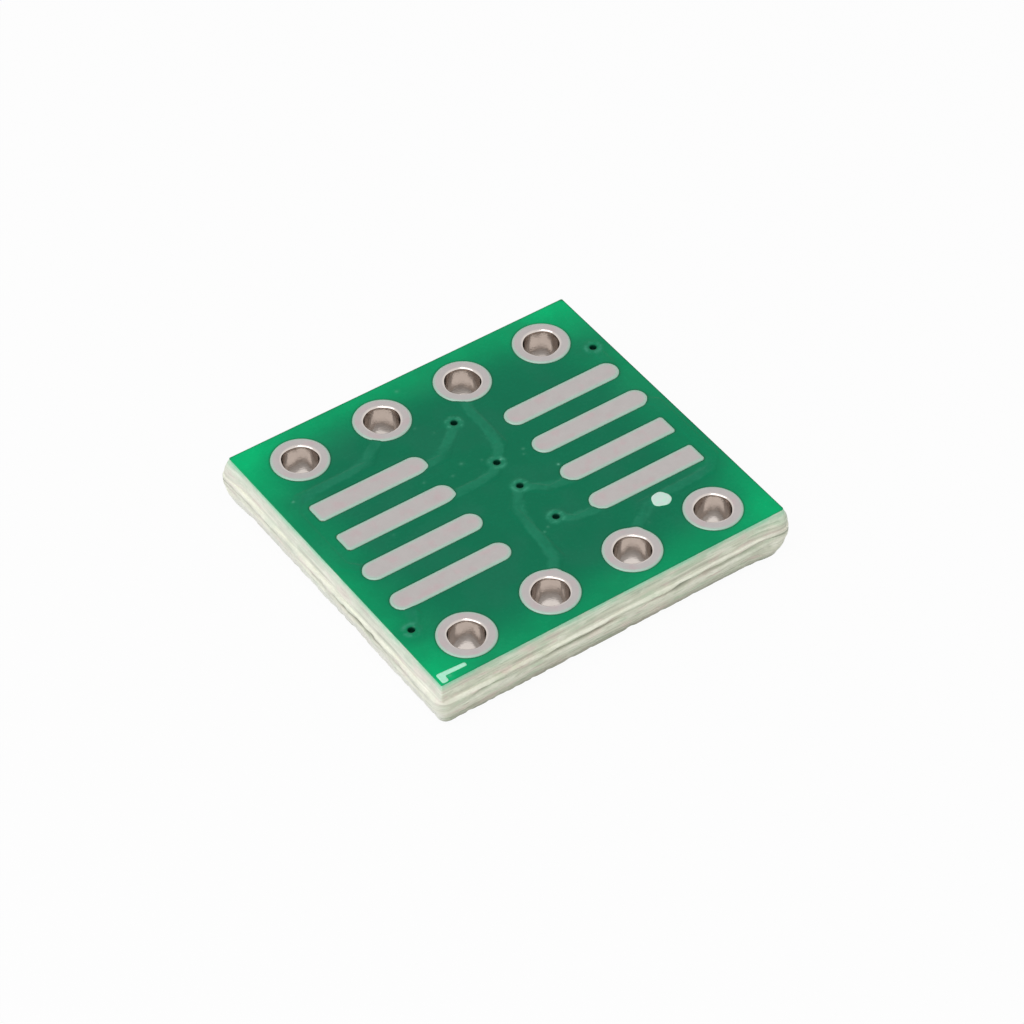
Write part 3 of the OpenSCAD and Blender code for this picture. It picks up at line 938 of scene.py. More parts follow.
@dataclass
class SolderMask:
    """One face's solder mask: a thin sheet with openings, raised over tracks and dimpled at vias."""

    layout: Layout
    face: Face
    half: Array
    outline: Array
    level: float
    thickness: float = 0.025
    over_copper: float = 0.045
    pit_depth: float = 0.11
    coarse: float = 0.075
    bend_cut: float = 0.4
    # how much painted light enters at the left, right, front and back side, and at the corners
    side_light: tuple[float, float, float, float] = (0.39, 0.31, 0.36, 0.54)
    # how dark the painted shade on the rim is at the same sides
    side_rim: tuple[float, float, float, float] = (0.08, 0.70, 0.12, 0.70)
    ceiling: float = 0.055
    corner_light: float = 0.17
    openings: list[Outline] = field(default_factory=list)
    dusts_and_glints: tuple[tuple[float, float, float, float], ...] = ()

    def stretches(self, cut: float) -> list[tuple[Point, Point]]:
        """Straight stretches of all this face's tracks, from the middle of the board.

        Args:
            cut: How far from each turn its corner is cut, or 0 for the tracks as drawn.

        Returns:
            Both ends of each stretch.
        """
        found = []
        for n in self.layout.nets:
            for route in self.layout.routes(n, self.face):
                places = [self.layout.shifted(p) for p in (bent(bent(route, cut), cut) if cut else route)]
                found += list(zip(places[:-1], places[1:]))
        return found

    @property
    def vias(self) -> list[Point]:
        """Centres of the vias, from the middle of the board."""
        return [self.layout.shifted(v) for v in map(self.layout.via, self.layout.nets) if v]

    def copper_distance(self, x: Array, y: Array, cut: float = 0.0) -> Array:
        """Distance to the nearest covered track or via ring, negative over the copper."""
        found = [segment_distance(x, y, a, b) - self.layout.track_width / 2.0 for a, b in self.stretches(cut)]
        return np.minimum(np.min(found, axis=0), self.via_distance(x, y) - self.layout.via_radius)

    def via_distance(self, x: Array, y: Array) -> Array:
        """Distance to the nearest via's middle."""
        return np.min([np.hypot(x - v[0], y - v[1]) for v in self.vias], axis=0)

    def opening_distance(self, x: Array, y: Array) -> Array:
        """Distance to the nearest exposed copper, negative over it."""
        return np.min([opening.distance(x, y) for opening in self.openings], axis=0)

    def dust_and_glint_shares(self, x: Array, y: Array) -> Array:
        """How much dust or painted glint lies at each place: a bell curve round each, times its strength."""
        found = [share * np.exp(-((x - a) ** 2 + (y - b) ** 2) / r**2) for a, b, r, share in self.dusts_and_glints]
        return np.max(found, axis=0) if found else np.zeros(x.shape)

    def height(self, x: Array, y: Array) -> Array:
        """Height of the mask over the laminate.

        It eases from its thickness up to the copper's over a shoulder, sinks into each via's bore,
        thins a little at each opening and swells a little beside it.
        """
        rise = self.over_copper - self.thickness
        height = self.thickness + rise * smooth_step((0.055 - self.copper_distance(x, y)) / 0.09)
        bore = self.via_distance(x, y)
        height = height - 0.006 * smooth_step((0.17 - bore) / 0.06)
        height = height - self.pit_depth * smooth_step((self.layout.via_bore - bore) / 0.04)
        gap = self.opening_distance(x, y)
        height = height + 0.005 * np.exp(-(((gap - 0.07) / 0.03) ** 2))
        height = height - 0.004 * smooth_step((0.04 - gap) / 0.03) + 0.012 * self.dust_and_glint_shares(x, y)
        return np.minimum(height, self.ceiling)

    def side_glow(self, x: Array, y: Array) -> Array:
        """How bright the painted glow makes the mask, from the light that enters at its sides and fades inwards.

        Each side gives its share times a bell curve of the distance from it, and the nearest
        corner gives a wider one. Copper near a side keeps a third of the light away, as painted shade.
        """
        sides = sum(share * np.exp(-((d / 0.9) ** 2)) for share, d in zip(self.side_light, self.side_distances(x, y)))
        corner = np.hypot(self.half[0] - np.abs(x), self.half[1] - np.abs(y))
        light = sides + self.corner_light * np.exp(-((corner / 2.0) ** 2))
        shade = 0.34 * np.exp(-((np.maximum(self.copper_distance(x, y, self.bend_cut), 0.0) / 0.28) ** 2))
        return np.clip(light * (1.0 - shade), 0.0, 1.0)

    def side_distances(self, x: Array, y: Array) -> tuple[Array, Array, Array, Array]:
        """Distances from the left, right, front and back side."""
        return x + self.half[0], self.half[0] - x, y + self.half[1], self.half[1] - y

    def border(self, x: Array, y: Array) -> Array:
        """How much painted shade lies on the rim: along the board's sides and round each opening."""
        rims = [share * (1.0 - smooth_step(d / 0.045)) for share, d in zip(self.side_rim, self.side_distances(x, y))]
        gap = self.opening_distance(x, y)
        return np.max([*rims, 0.5 * smooth_step((0.075 - gap) / 0.05)], axis=0)

    def free_points(self) -> Array:
        """Points of a lattice, three times finer where the relief bends."""
        fine = self.coarse / 3.0
        counts = [int(h // fine) for h in self.half]
        i, j = np.meshgrid(np.arange(-counts[0], counts[0] + 1), np.arange(-counts[1], counts[1] + 1))
        i, j = i.ravel(), j.ravel()
        x, y = i * fine, j * fine
        clear = (self.opening_distance(x, y) > 0.125) & (self.via_distance(x, y) > 0.33)
        clear &= (self.half[0] - np.abs(x) > 0.09) & (self.half[1] - np.abs(y) > 0.09)
        bends = np.abs(self.copper_distance(x, y) - 0.01) < 0.07
        bends |= self.dust_and_glint_shares(x, y) > 0.02
        keep = clear & (bends | ((i % 3 == 0) & (j % 3 == 0)))
        return np.stack([x[keep], y[keep]], axis=1)

    def inner_rim(self, inset: float = 0.045, step: float = 0.1) -> Array:
        """Points of a rectangle just inside the border, in order, short of its corners."""
        w, d = self.half - inset
        a, b = (np.linspace(0.08 / side - 1.0, 1.0 - 0.08 / side, int(2.0 * side / step)) for side in (w, d))
        sides = (
            np.stack([w * a, np.full(len(a), -d)], axis=1),
            np.stack([np.full(len(b), w), d * b], axis=1),
            np.stack([-w * a, np.full(len(a), d)], axis=1),
            np.stack([np.full(len(b), -w), -d * b], axis=1),
        )
        return np.concatenate(sides)

    def build(self, name: str, finish: bpy.types.Material, node: str) -> bpy.types.Object:
        """Makes the mask: a relief on top, a flat sheet below and walls round each opening.

        Args:
            name: The piece's name.
            finish: Its material.
            node: The CAD node that it stands for.

        Returns:
            The new object.
        """
        holes = [opening.loop(-0.02) for opening in self.openings]
        pits = [RingOutline((), via, radius, 32).loop(0.0)
                for via in self.vias for radius in (0.012, 0.04, 0.062, 0.07, 0.08, 0.09, 0.1, 0.13)]
        lines = [self.inner_rim(), *pits]
        lines += [opening.loop(margin) for opening in self.openings for margin in (0.012, 0.035, 0.065, 0.1)]
        lines += [RingOutline((), via, radius, 40).loop(0.0) for via in self.vias for radius in (0.17, 0.21, 0.25, 0.3)]
        points, faces, rims = Sheet(self.outline, holes, lines, self.free_points()).triangles()
        relief = np.column_stack([points, self.height(*points.T)])
        points, flat_faces, flat_rims = Sheet(self.outline, holes, pits).triangles()
        # the flat side bulges into the bores under the dimples
        flat = np.column_stack([points, np.minimum(self.height(*points.T) - 0.015, 0.0)])
        walls = [strip(f + len(relief), r) for r, f in zip(rims[:1], flat_rims[:1])]
        walls += [strip(r, f + len(relief)) for r, f in zip(rims[1:], flat_rims[1:])]
        all_points = np.concatenate([relief, flat])
        all_points[:, 2] = self.level + self.face.value * all_points[:, 2]
        x, y = all_points[:, 0], all_points[:, 1]
        over = self.copper_distance(x, y, self.bend_cut)
        # near the sides the light from below hides the tracks
        seen = smooth_step((np.min(self.side_distances(x, y), axis=0) - 0.25) / 0.7)
        values = {
            "side_glow": self.side_glow(x, y),
            "copper": smooth_step((0.03 - over) / 0.08) * seen,
            # painted highlight: faint along the tracks' edges, strong round the via rings
            "shoulder": np.maximum(0.3 * np.exp(-((over / 0.03) ** 2)) * seen,
                                   1.3 * np.exp(-(((self.via_distance(x, y) - 0.2) / 0.05) ** 2))),
            # painted shade on the rim along the sides and round the openings
            "border": self.border(x, y),
            # painted shade inside the via bores
            "pit_shade": smooth_step((0.12 - self.via_distance(x, y)) / 0.04),
            "dust_and_glint": self.dust_and_glint_shares(x, y),
        }
        sides = np.concatenate(walls)
        parts = [faces, flat_faces[:, ::-1] + len(relief), sides]
        return Piece(name, all_points, parts, values, 60.0).make(finish, "solder_mask", node)


@dataclass
class TinPad:
    """Tin on a land: a low cushion with rounded shoulders that covers the copper's sides."""

    outline: Outline
    level: float
    top: float
    inset: tuple[float, ...] = (-0.014, -0.013, -0.005, 0.007, 0.034, 0.07, 0.12)
    rise: tuple[float, ...] = (0.0, 0.42, 0.68, 0.84, 0.94, 0.99, 1.0)
    pale: tuple[float, ...] = (1.0, 1.0, 1.0, 1.0, 1.0, 0.35, 0.0)

    def build(self, name: str, finish: bpy.types.Material, node: str) -> bpy.types.Object:
        """Stacks the outline at each inset, from the laminate up to the flat top, and closes both ends.

        Args:
            name: The piece's name.
            finish: Its material.
            node: The CAD node that it stands for.

        Returns:
            The new object.
        """
        loops = [self.outline.loop(-inset) for inset in self.inset]
        count = len(loops[0])
        height = self.level + np.array(self.rise) * (self.top - self.level)
        points = np.concatenate([
            np.column_stack([loop, np.full(count, z)]) for loop, z in zip(loops, height)
        ])
        rows = len(loops)
        faces = [
            tube_faces(rows, count, False),
            np.arange(count)[None, ::-1],
            np.arange((rows - 1) * count, rows * count)[None],
        ]
        values = {"border": np.repeat(self.pale, count), "barrel": np.zeros(rows * count)}
        return Piece(name, points, faces, values, 75.0).make(finish, "tin", node)


@dataclass
class HoleTin:
    """Tin in a header hole: a ring on each face, rounded mouths and the lining between them."""

    layout: Layout
    n: int
    top: float
    bottom: float = 0.0
    mouth: float = 0.06
    lining: float = 0.492
    ring_drop: float = 0.05
    dent: float = 0.009
    steps: int = 120

    def profile(self) -> tuple[Array, Array, Array, Array]:
        """The section, from the top ring's rim over the mouth, down the lining and back outside it.

        Returns:
            Radii, heights, how far each point follows the rim's swells (1 at the top rim, -1 at
            the underside's), and how much of it is the smooth lining.
        """
        o, r, m = self.layout.ring_radius, self.lining, self.mouth
        turn = np.linspace(0.0, math.pi / 2.0, 9)
        rim = np.array([(-0.014, self.ring_drop), (-0.013, 0.032), (-0.005, 0.017), (0.007, 0.009), (0.034, 0.003), (0.07, 0.0)])
        half_r = np.concatenate([o - rim[:, 0], r + m - m * np.sin(turn), np.full(5, r)])
        half_d = np.concatenate([rim[:, 1], m - m * np.cos(turn), np.linspace(0.12, 0.7, 5)])
        follow = np.concatenate([np.linspace(1.0, 0.6, len(rim)), np.zeros(len(turn) + 5)])
        smooth = np.concatenate([np.zeros(len(rim)), np.clip(np.linspace(0.0, 2.5, len(turn)), 0.0, 1.0), np.ones(5)])
        back = self.layout.drill_radius
        radii = np.concatenate([half_r, half_r[::-1], [back, back]])
        high = np.concatenate([self.top - half_d, self.bottom + half_d[::-1], [self.bottom + 0.055, self.top - 0.055]])
        follows = np.concatenate([follow, -follow[::-1], [0.0, 0.0]])
        smooths = np.concatenate([smooth, smooth[::-1], [1.0, 1.0]])
        return radii, high, follows, smooths

    def build(self, name: str, finish: bpy.types.Material, node: str) -> bpy.types.Object:
        """Turns the section about the hole's axis; its rims swell where a track of their face leaves.

        Args:
            name: The piece's name.
            finish: Its material.
            node: The CAD node that it stands for.

        Returns:
            The new object.
        """
        radii, high, follows, smooths = self.profile()
        centre = self.layout.shifted(self.layout.hole(self.n))
        angle = np.linspace(0.0, 2.0 * math.pi, self.steps, endpoint=False)
        rim_x = centre[0] + self.layout.ring_radius * np.cos(angle)
        rim_y = centre[1] + self.layout.ring_radius * np.sin(angle)
        swell = {
            face: sum((s.at(rim_x, rim_y) for s in self.layout.ring_outline(self.n, face).swells), np.zeros(self.steps))
            for face in Face
        }
        grown = np.maximum(follows, 0.0)[:, None] * swell[Face.TOP] + np.maximum(-follows, 0.0)[:, None] * swell[Face.UNDERSIDE]
        waves = np.random.default_rng(self.n).uniform(0.0, 2.0 * math.pi, (2, 3))
        dents = [sum(np.cos(k * angle + turn) for k, turn in zip((2, 3, 5), row)) for row in waves]
        share = ((self.top - high) / (self.top - self.bottom))[:, None]
        lined = (smooths * (radii < self.layout.drill_radius - 0.001))[:, None]
        r = radii[:, None] + grown + self.dent * lined * ((dents[0] * (1.0 - share) + dents[1] * share) / 1.5 - 1.0)
        x = centre[0] + r * np.cos(angle)
        y = centre[1] + r * np.sin(angle)
        z = np.repeat(high[:, None], self.steps, axis=1)
        points = np.stack([x, y, z], axis=-1).reshape(-1, 3)
        border = np.clip((np.abs(follows) - 0.6) / 0.12, 0.0, 1.0)
        values = {
            "border": np.repeat(border, self.steps),
            "barrel": np.repeat(smooths, self.steps),
        }
        faces = [tube_faces(len(radii), self.steps, True)]
        return Piece(name, points, faces, values, 80.0).make(finish, "tin", node)


@dataclass
class Laminate:
    """The laminate's body: scored faces that lean, a ragged web between them, and drilled holes."""

    layout: Layout
    lean: float = 0.1
    ledge_depth: float = 0.5
    web_depth: float = 0.86
    split_depth: float = 0.66
    side_step: float = 0.04
    corner_steps: int = 10
    seed: int = 11
    # corner radii of the snapped web, and how far each corner is full: right back, left back,
    # left front, right front
    web_corners: tuple[float, float, float, float] = (0.3, 0.2, 0.34, 0.34)
    full_corners: tuple[float, float, float, float] = (0.6, 0.9, 0.0, 1.0)
    full_reach: float = 0.45
    # how far the lower scored face stands out over the plain one
    foot_spread: float = 0.03

    def levels(self) -> tuple[Array, Array, Array, Array]:
        """The edge's section from the top face's side down.

        Returns:
            Depths, offsets from the top face's side, how much each level is web, and its share of
            the web's corner radii, first at a plain corner and then at a full one.
        """
        web = float(self.layout.high[0] - self.layout.top_half[0])
        under = float(self.layout.under_half[0] - self.layout.top_half[0]) + self.foot_spread
        full = float(self.layout.high[2] - self.layout.low[2])
        upper = np.linspace(0.0, 1.0, 13)
        middle = np.linspace(0.0, 1.0, 19)
        lower = np.linspace(0.0, 1.0, 15)
        bulge = np.sqrt(np.clip(1.0 - (2.0 * middle - 1.0) ** 8, 0.0, 1.0))
        depth = np.concatenate([
            upper * self.ledge_depth,
            self.ledge_depth + 0.004 + middle * (self.web_depth - self.ledge_depth - 0.008),
            self.web_depth + lower * (full - self.web_depth),
        ])
        offset = np.concatenate([
            upper * self.lean,
            self.lean + (web - self.lean) * bulge,
            self.lean + lower * (under - self.lean),
        ])
        is_web = np.concatenate([np.zeros(len(upper)), bulge, np.zeros(len(lower))])
        rounding = np.concatenate([0.1 + 0.15 * upper, 0.25 + 0.75 * bulge, 0.6 + 0.1 * lower])
        full_rounding = np.concatenate([0.15 + 0.85 * upper, np.ones(len(middle)), 1.0 - 0.2 * lower])
        return depth, offset, is_web, np.stack([rounding, full_rounding])

    def perimeter(self) -> tuple[Array, Array, Array]:
        """Steps round the board, counter-clockwise from the right side's front end.

        Returns:
            For each step its corner's number, the share of the way along the side that follows the
            corner (0 while it turns), and the outward direction's angle.
        """
        corners, shares, angles = [], [], []
        for corner in range(4):
            length = 2.0 * self.layout.top_half[(corner + 1) % 2]
            steps = int(length / self.side_step)
            turn = np.linspace(0.0, 1.0, self.corner_steps, endpoint=False)
            along = np.linspace(0.0, 1.0, steps, endpoint=False)
            corners.append(np.full(len(turn) + steps, corner))
            shares.append(np.concatenate([np.zeros(len(turn)), along]))
            angles.append((corner + np.concatenate([turn, np.ones(steps)])) * math.pi / 2.0)
        return np.concatenate(corners), np.concatenate(shares), np.concatenate(angles)

    def edge(self) -> tuple[Array, dict[str, Array]]:
        """The ragged edge as a grid of levels by steps.

        Each point lies on a rounded rectangle: a corner's centre plus its radius in the outward
        direction, and along the side a straight line to the next corner. Noise drawn out along the
        sides moves the scored faces in by a little and breaks the web back by more.

        Returns:
            The points and the values that the finish reads.
        """
        depth, offset, is_web, rounding = self.levels()
        corner, share, angle = self.perimeter()
        signs = np.array([(1.0, 1.0), (-1.0, 1.0), (-1.0, -1.0), (1.0, -1.0)])
        full = np.array(self.full_corners)
        share_of_radius = rounding[0][:, None] + (rounding[1] - rounding[0])[:, None] * full[None, :]
        radius = np.maximum(share_of_radius * np.array(self.web_corners)[None, :], 0.02)
        half = self.layout.top_half[None, :] + offset[:, None]
        after = (corner + 1) % 4
        shape = (len(depth), len(corner))
        # a full corner swells out to the web's reach over a quarter wave of the depth
        side_length = 2.0 * self.layout.top_half[(corner + 1) % 2]
        near_first = full[corner] * np.exp(-((share * side_length / self.full_reach) ** 2))
        near_second = full[after] * np.exp(-(((1.0 - share) * side_length / self.full_reach) ** 2))
        upper = np.sin(0.5 * math.pi * np.clip(depth / self.ledge_depth, 0.0, 1.0))
        lower = np.cos(0.5 * math.pi * np.clip((depth - self.web_depth) / (depth[-1] - self.web_depth), 0.0, 1.0))
        reach = np.maximum(offset.max() * np.minimum(upper, lower) - offset, 0.0)
        swell = reach[:, None] * np.maximum(near_first, near_second)[None, :]
        fibres = soft_noise(shape, (1.4, 14.0), self.seed)
        clumps = soft_noise(shape, (5.0, 14.0), self.seed + 1)
        long_waves = soft_noise(shape, (60.0, 45.0), self.seed + 2)
        chips = soft_noise(shape, (2.0, 4.0), self.seed + 4)
        nicks = soft_noise(shape, (1.5, 2.6), self.seed + 5)
        # the web keeps its full reach at the corners
        away = smooth_step(np.minimum(share, 1.0 - share) * 10.0 / 0.6)
        split = np.exp(-(((depth - self.split_depth) / 0.05) ** 2))[:, None]
        split = split * np.clip(0.75 + 0.35 * long_waves + 0.2 * clumps, 0.0, 1.3)
        bite = np.clip(0.02 + 0.010 * clumps + 0.008 * long_waves + 0.008 * chips, 0.0, 0.1) + 0.06 * split
        scrape = np.clip(0.005 + 0.005 * fibres, 0.0, 0.018) * smooth_step(depth / 0.12)[:, None]
        low = smooth_step((depth - self.web_depth - 0.1) / 0.4)[:, None]
        scrape = scrape + np.clip(0.004 + 0.012 * nicks, 0.0, 0.03) * low
        back = bite * is_web[:, None] * away + scrape - swell
        first = half[:, None, :] * signs[corner][None] - signs[corner][None] * radius[:, corner][..., None]
        second = half[:, None, :] * signs[after][None] - signs[after][None] * radius[:, after][..., None]
        outward = np.stack([np.cos(angle), np.sin(angle)], axis=1)[None]
        from_first = first + outward * radius[:, corner][..., None]
        from_second = second + outward * radius[:, after][..., None]
        place = from_first + share[None, :, None] * (from_second - from_first) - outward * back[..., None]
        rough_z = 0.008 * soft_noise(shape, (2.0, 9.0), self.seed + 3) * is_web[:, None]
        z = self.layout.high[2] - depth[:, None] + rough_z
        points = np.concatenate([place, z[..., None]], axis=-1)
        ledge = np.exp(-(((depth - self.ledge_depth - 0.01) / 0.035) ** 2))[:, None]
        lip = np.exp(-(((depth - self.web_depth - 0.03) / 0.15) ** 2))[:, None]
        foot = smooth_step((depth - self.web_depth - 0.22) / (depth[-1] - self.web_depth - 0.22))[:, None]
        line = np.exp(-((depth[-1] - depth) / 0.035))[:, None]
        line_above_ledge = np.exp(-(((depth - self.ledge_depth + 0.1) / 0.03) ** 2))[:, None] * np.clip(0.1 + 0.35 * clumps, 0.0, 0.4)
        # the left and right sides get more light from below, so less painted shade at their foot
        facing = 0.15 + 0.85 * np.abs(np.sin(angle))[None, :]
        # and painted light makes them whiter, most of all below the web
        white = (0.35 + 0.35 * smooth_step((depth - self.web_depth) / 0.12))[:, None] * np.cos(angle)[None, :] ** 2
        values = {
            # painted highlight along the ledge and the web's lower lip
            "ridge_highlight": np.clip(ledge * (0.85 + 0.35 * clumps + 0.2 * chips) + 1.0 * lip * (1.0 + 0.6 * clumps + 0.4 * nicks), 0.0, 1.0),
            # painted shade in the split, along a line above the ledge, on the foot and along the bottom edge, with a
            # little that follows the fibres
            "hollow_shade": np.clip(0.7 * split * (1.0 + 0.3 * fibres) + line_above_ledge + facing * (0.5 * foot + 0.5 * line) + 0.05 * fibres, 0.0, 1.0),
            "mint": np.exp(-depth / 0.085)[:, None] * np.ones(shape),
            "painted_side_light": white,
        }
        return points, values

    def build(self, name: str, finish: bpy.types.Material, node: str) -> bpy.types.Object:
        """Closes the edge with two faces, each with the drilled holes, and walls in the holes.

        Args:
            name: The piece's name.
            finish: Its material.
            node: The CAD node that it stands for.

        Returns:
            The new object.
        """
        grid, grid_values = self.edge()
        rows, columns = grid.shape[:2]
        vias = [self.layout.shifted(v) for v in map(self.layout.via, self.layout.nets) if v]
        holes = [RingOutline((), self.layout.shifted(self.layout.hole(n)), self.layout.drill_radius, 48).loop(0.0)
                 for n in self.layout.nets]
        holes += [RingOutline((), via, 0.15, 24).loop(0.0) for via in vias]
        points, faces = [grid.reshape(-1, 3)], [tube_faces(rows, columns, False)]
        used, rims = rows * columns, []
        for row, level in ((0, self.layout.high[2]), (rows - 1, self.layout.low[2])):
            flat, triangles, found = Sheet(grid[row, :, :2], holes).triangles()
            index = used + np.arange(len(flat))
            index[found[0]] = row * columns + np.arange(columns)
            points.append(np.column_stack([flat, np.full(len(flat), level)]))
            faces.append(index[triangles] if row else index[triangles][:, ::-1])
            rims.append([index[rim] for rim in found[1:]])
            used += len(flat)
        faces.append(np.concatenate([strip(low, high) for high, low in zip(*rims)]))
        all_points = np.concatenate(points)
        kept, faces = drop_unused(len(all_points), faces)
        extra = len(all_points) - rows * columns
        values = {key: np.concatenate([value.ravel(), np.zeros(extra)])[kept] for key, value in grid_values.items()}
        return Piece(name, all_points[kept], faces, values, 50.0).make(finish, "laminate", node)


def drop_unused(count: int, faces: list[Array]) -> tuple[Array, list[Array]]:
    """Finds the points that faces use, and numbers the faces' corners anew.

    Args:
        count: How many points there are.
        faces: Faces as indices of points.

    Returns:
        Which points are kept, and the faces with new indices.
    """
    kept = np.zeros(count, bool)
    for part in faces:
        kept[part.ravel()] = True
    place = np.cumsum(kept) - 1
    return kept, [place[part] for part in faces]


@dataclass
class InkMark:
    """A printed mark: a flat shape that lies on the mask's relief with a soft rim."""

    mask: SolderMask
    loop: Array
    thickness: float = 0.014
    rim: float = 0.025
    thinness: float = 0.0

    def build(self, name: str, finish: bpy.types.Material, node: str) -> bpy.types.Object:
        """Lays the shape on the mask: its height is the mask's plus the ink, down to the mask at its rim.

        Args:
            name: The piece's name.
            finish: Its material.
            node: The CAD node that it stands for.

        Returns:
            The new object.
        """
        centre = self.loop.mean(axis=0)
        low, high = self.loop.min(axis=0), self.loop.max(axis=0)
        grid = np.stack(np.meshgrid(*(np.arange(a, b, 0.03) for a, b in zip(low, high))), axis=-1).reshape(-1, 2)
        away = np.min([
            segment_distance(grid[:, 0], grid[:, 1], tuple(a), tuple(b))
            for a, b in zip(self.loop, np.roll(self.loop, -1, axis=0))
        ], axis=0)
        free = grid[inside(grid, self.loop) & (away > self.rim * 1.5)]
        along = np.roll(self.loop, -1, axis=0) - np.roll(self.loop, 1, axis=0)
        inward = np.stack([-along[:, 1], along[:, 0]], axis=1)
        inward /= np.linalg.norm(inward, axis=1)[:, None]
        inner = self.loop + inward * self.rim * 0.6
        flat, faces, rims = Sheet(self.loop, [], [inner], free).triangles()
        x, y = flat[:, 0], flat[:, 1]
        edge = np.zeros(len(flat), bool)
        edge[rims[0]] = True
        ground = self.mask.height(x, y)
        top = np.minimum(ground + np.where(edge, self.thickness * 0.35, self.thickness), self.mask.ceiling)
        bottom = ground - 0.003
        sign, level = self.mask.face.value, self.mask.level
        points = np.concatenate([
            np.column_stack([flat, level + sign * top]),
            np.column_stack([flat, level + sign * bottom]),
        ])
        count = len(flat)
        sides = strip(rims[0] + count, rims[0])
        values = {"thin": np.concatenate([np.maximum(edge * 0.6, self.thinness), np.ones(count)])}
        parts = [faces, faces[:, ::-1] + count, sides]
        log.info("%s lies at %.2f, %.2f", name, *centre)
        return Piece(name, points, parts, values, 60.0).make(finish, "legend", node)


def dot_loop(centre: Point, radius: float, wobble: Sequence[tuple[int, float, float]], steps: int = 48) -> Array:
    """A roundish dot: a circle whose radius goes up and down in a few waves.

    Args:
        centre: Its middle.
        radius: Its mean radius.
        wobble: For each wave how many there are round the dot, its share of the radius and its turn.
        steps: Points on the loop.

    Returns:
        The loop, counter-clockwise.
    """
    angle = np.linspace(0.0, 2.0 * math.pi, steps, endpoint=False)
    share = 1.0 + sum(size * np.cos(count * angle + turn) for count, size, turn in wobble)
    return np.array(centre) + radius * np.stack([share * np.cos(angle), share * np.sin(angle)], axis=1)


def rounded(corners: Sequence[Point], step: float = 0.04, rounds: int = 3) -> Array:
    """A closed shape with softened corners: points along its sides, each round moved to the middles.

    Args:
        corners: Its corners in order, either way round.
        step: Distance of the points along its sides.
        rounds: How often every point gives way to the middle of its side.

    Returns:
        The loop, counter-clockwise.
    """
    start, end = np.array(corners, float), np.roll(np.array(corners, float), -1, axis=0)
    sides = [
        a + np.linspace(0.0, 1.0, max(2, int(np.linalg.norm(b - a) / step)), endpoint=False)[:, None] * (b - a)
        for a, b in zip(start, end)
    ]
    loop = np.concatenate(sides)
    for _ in range(rounds):
        loop = (loop + np.roll(loop, -1, axis=0)) / 2.0
    x, y = loop.T
    turned = float(np.sum(x * np.roll(y, -1) - y * np.roll(x, -1)))
    return loop if turned > 0.0 else loop[::-1]


@dataclass
class Legend:
    """The printed marks of both faces: a dot by the first lead and a stroke by the first hole."""

    top: SolderMask
    under: SolderMask
    finish: bpy.types.Material
    dot_radius: float = 0.27
    bar_width: float = 0.12
    leg_width: float = 0.19
    leg_length: float = 0.34
    slant: float = 0.05
    corner_thinness: float = 0.6

    def build(self) -> None:
        """Makes the four marks at the places of their CAD nodes."""
        wobble = ((2, 0.05, 0.6), (3, 0.04, 2.2), (5, 0.03, 1.0))
        for mask, dot, corner in (
            (self.top, "pin_one_dot", "corner_mark"),
            (self.under, "underside_pin_one_dot", "underside_corner_mark"),
        ):
            low, high = (np.array(c)[:2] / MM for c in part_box(dot))
            middle = (low + high) / 2.0
            loop = dot_loop((float(middle[0]), float(middle[1])), self.dot_radius * 0.93, wobble)
            InkMark(mask, loop).build(f"legend_{dot}", self.finish, dot)
            low, high = (np.array(c)[:2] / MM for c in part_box(corner))
            way = mask.face.value
            place = np.array([low[0] if way > 0 else high[0], high[1]])
            length = float(high[0] - low[0])
            shape = [
                (0.0, -0.02), (0.0, -self.leg_length), (self.leg_width, -self.leg_length),
                (self.leg_width, -self.bar_width - 0.03), (length, -self.bar_width - self.slant),
                (length, -self.slant), (0.06, 0.0),
            ]
            loop = rounded([(float(place[0] + way * a), float(place[1] + b)) for a, b in shape])
            InkMark(mask, loop, thinness=self.corner_thinness).build(f"legend_{corner}", self.finish, corner)


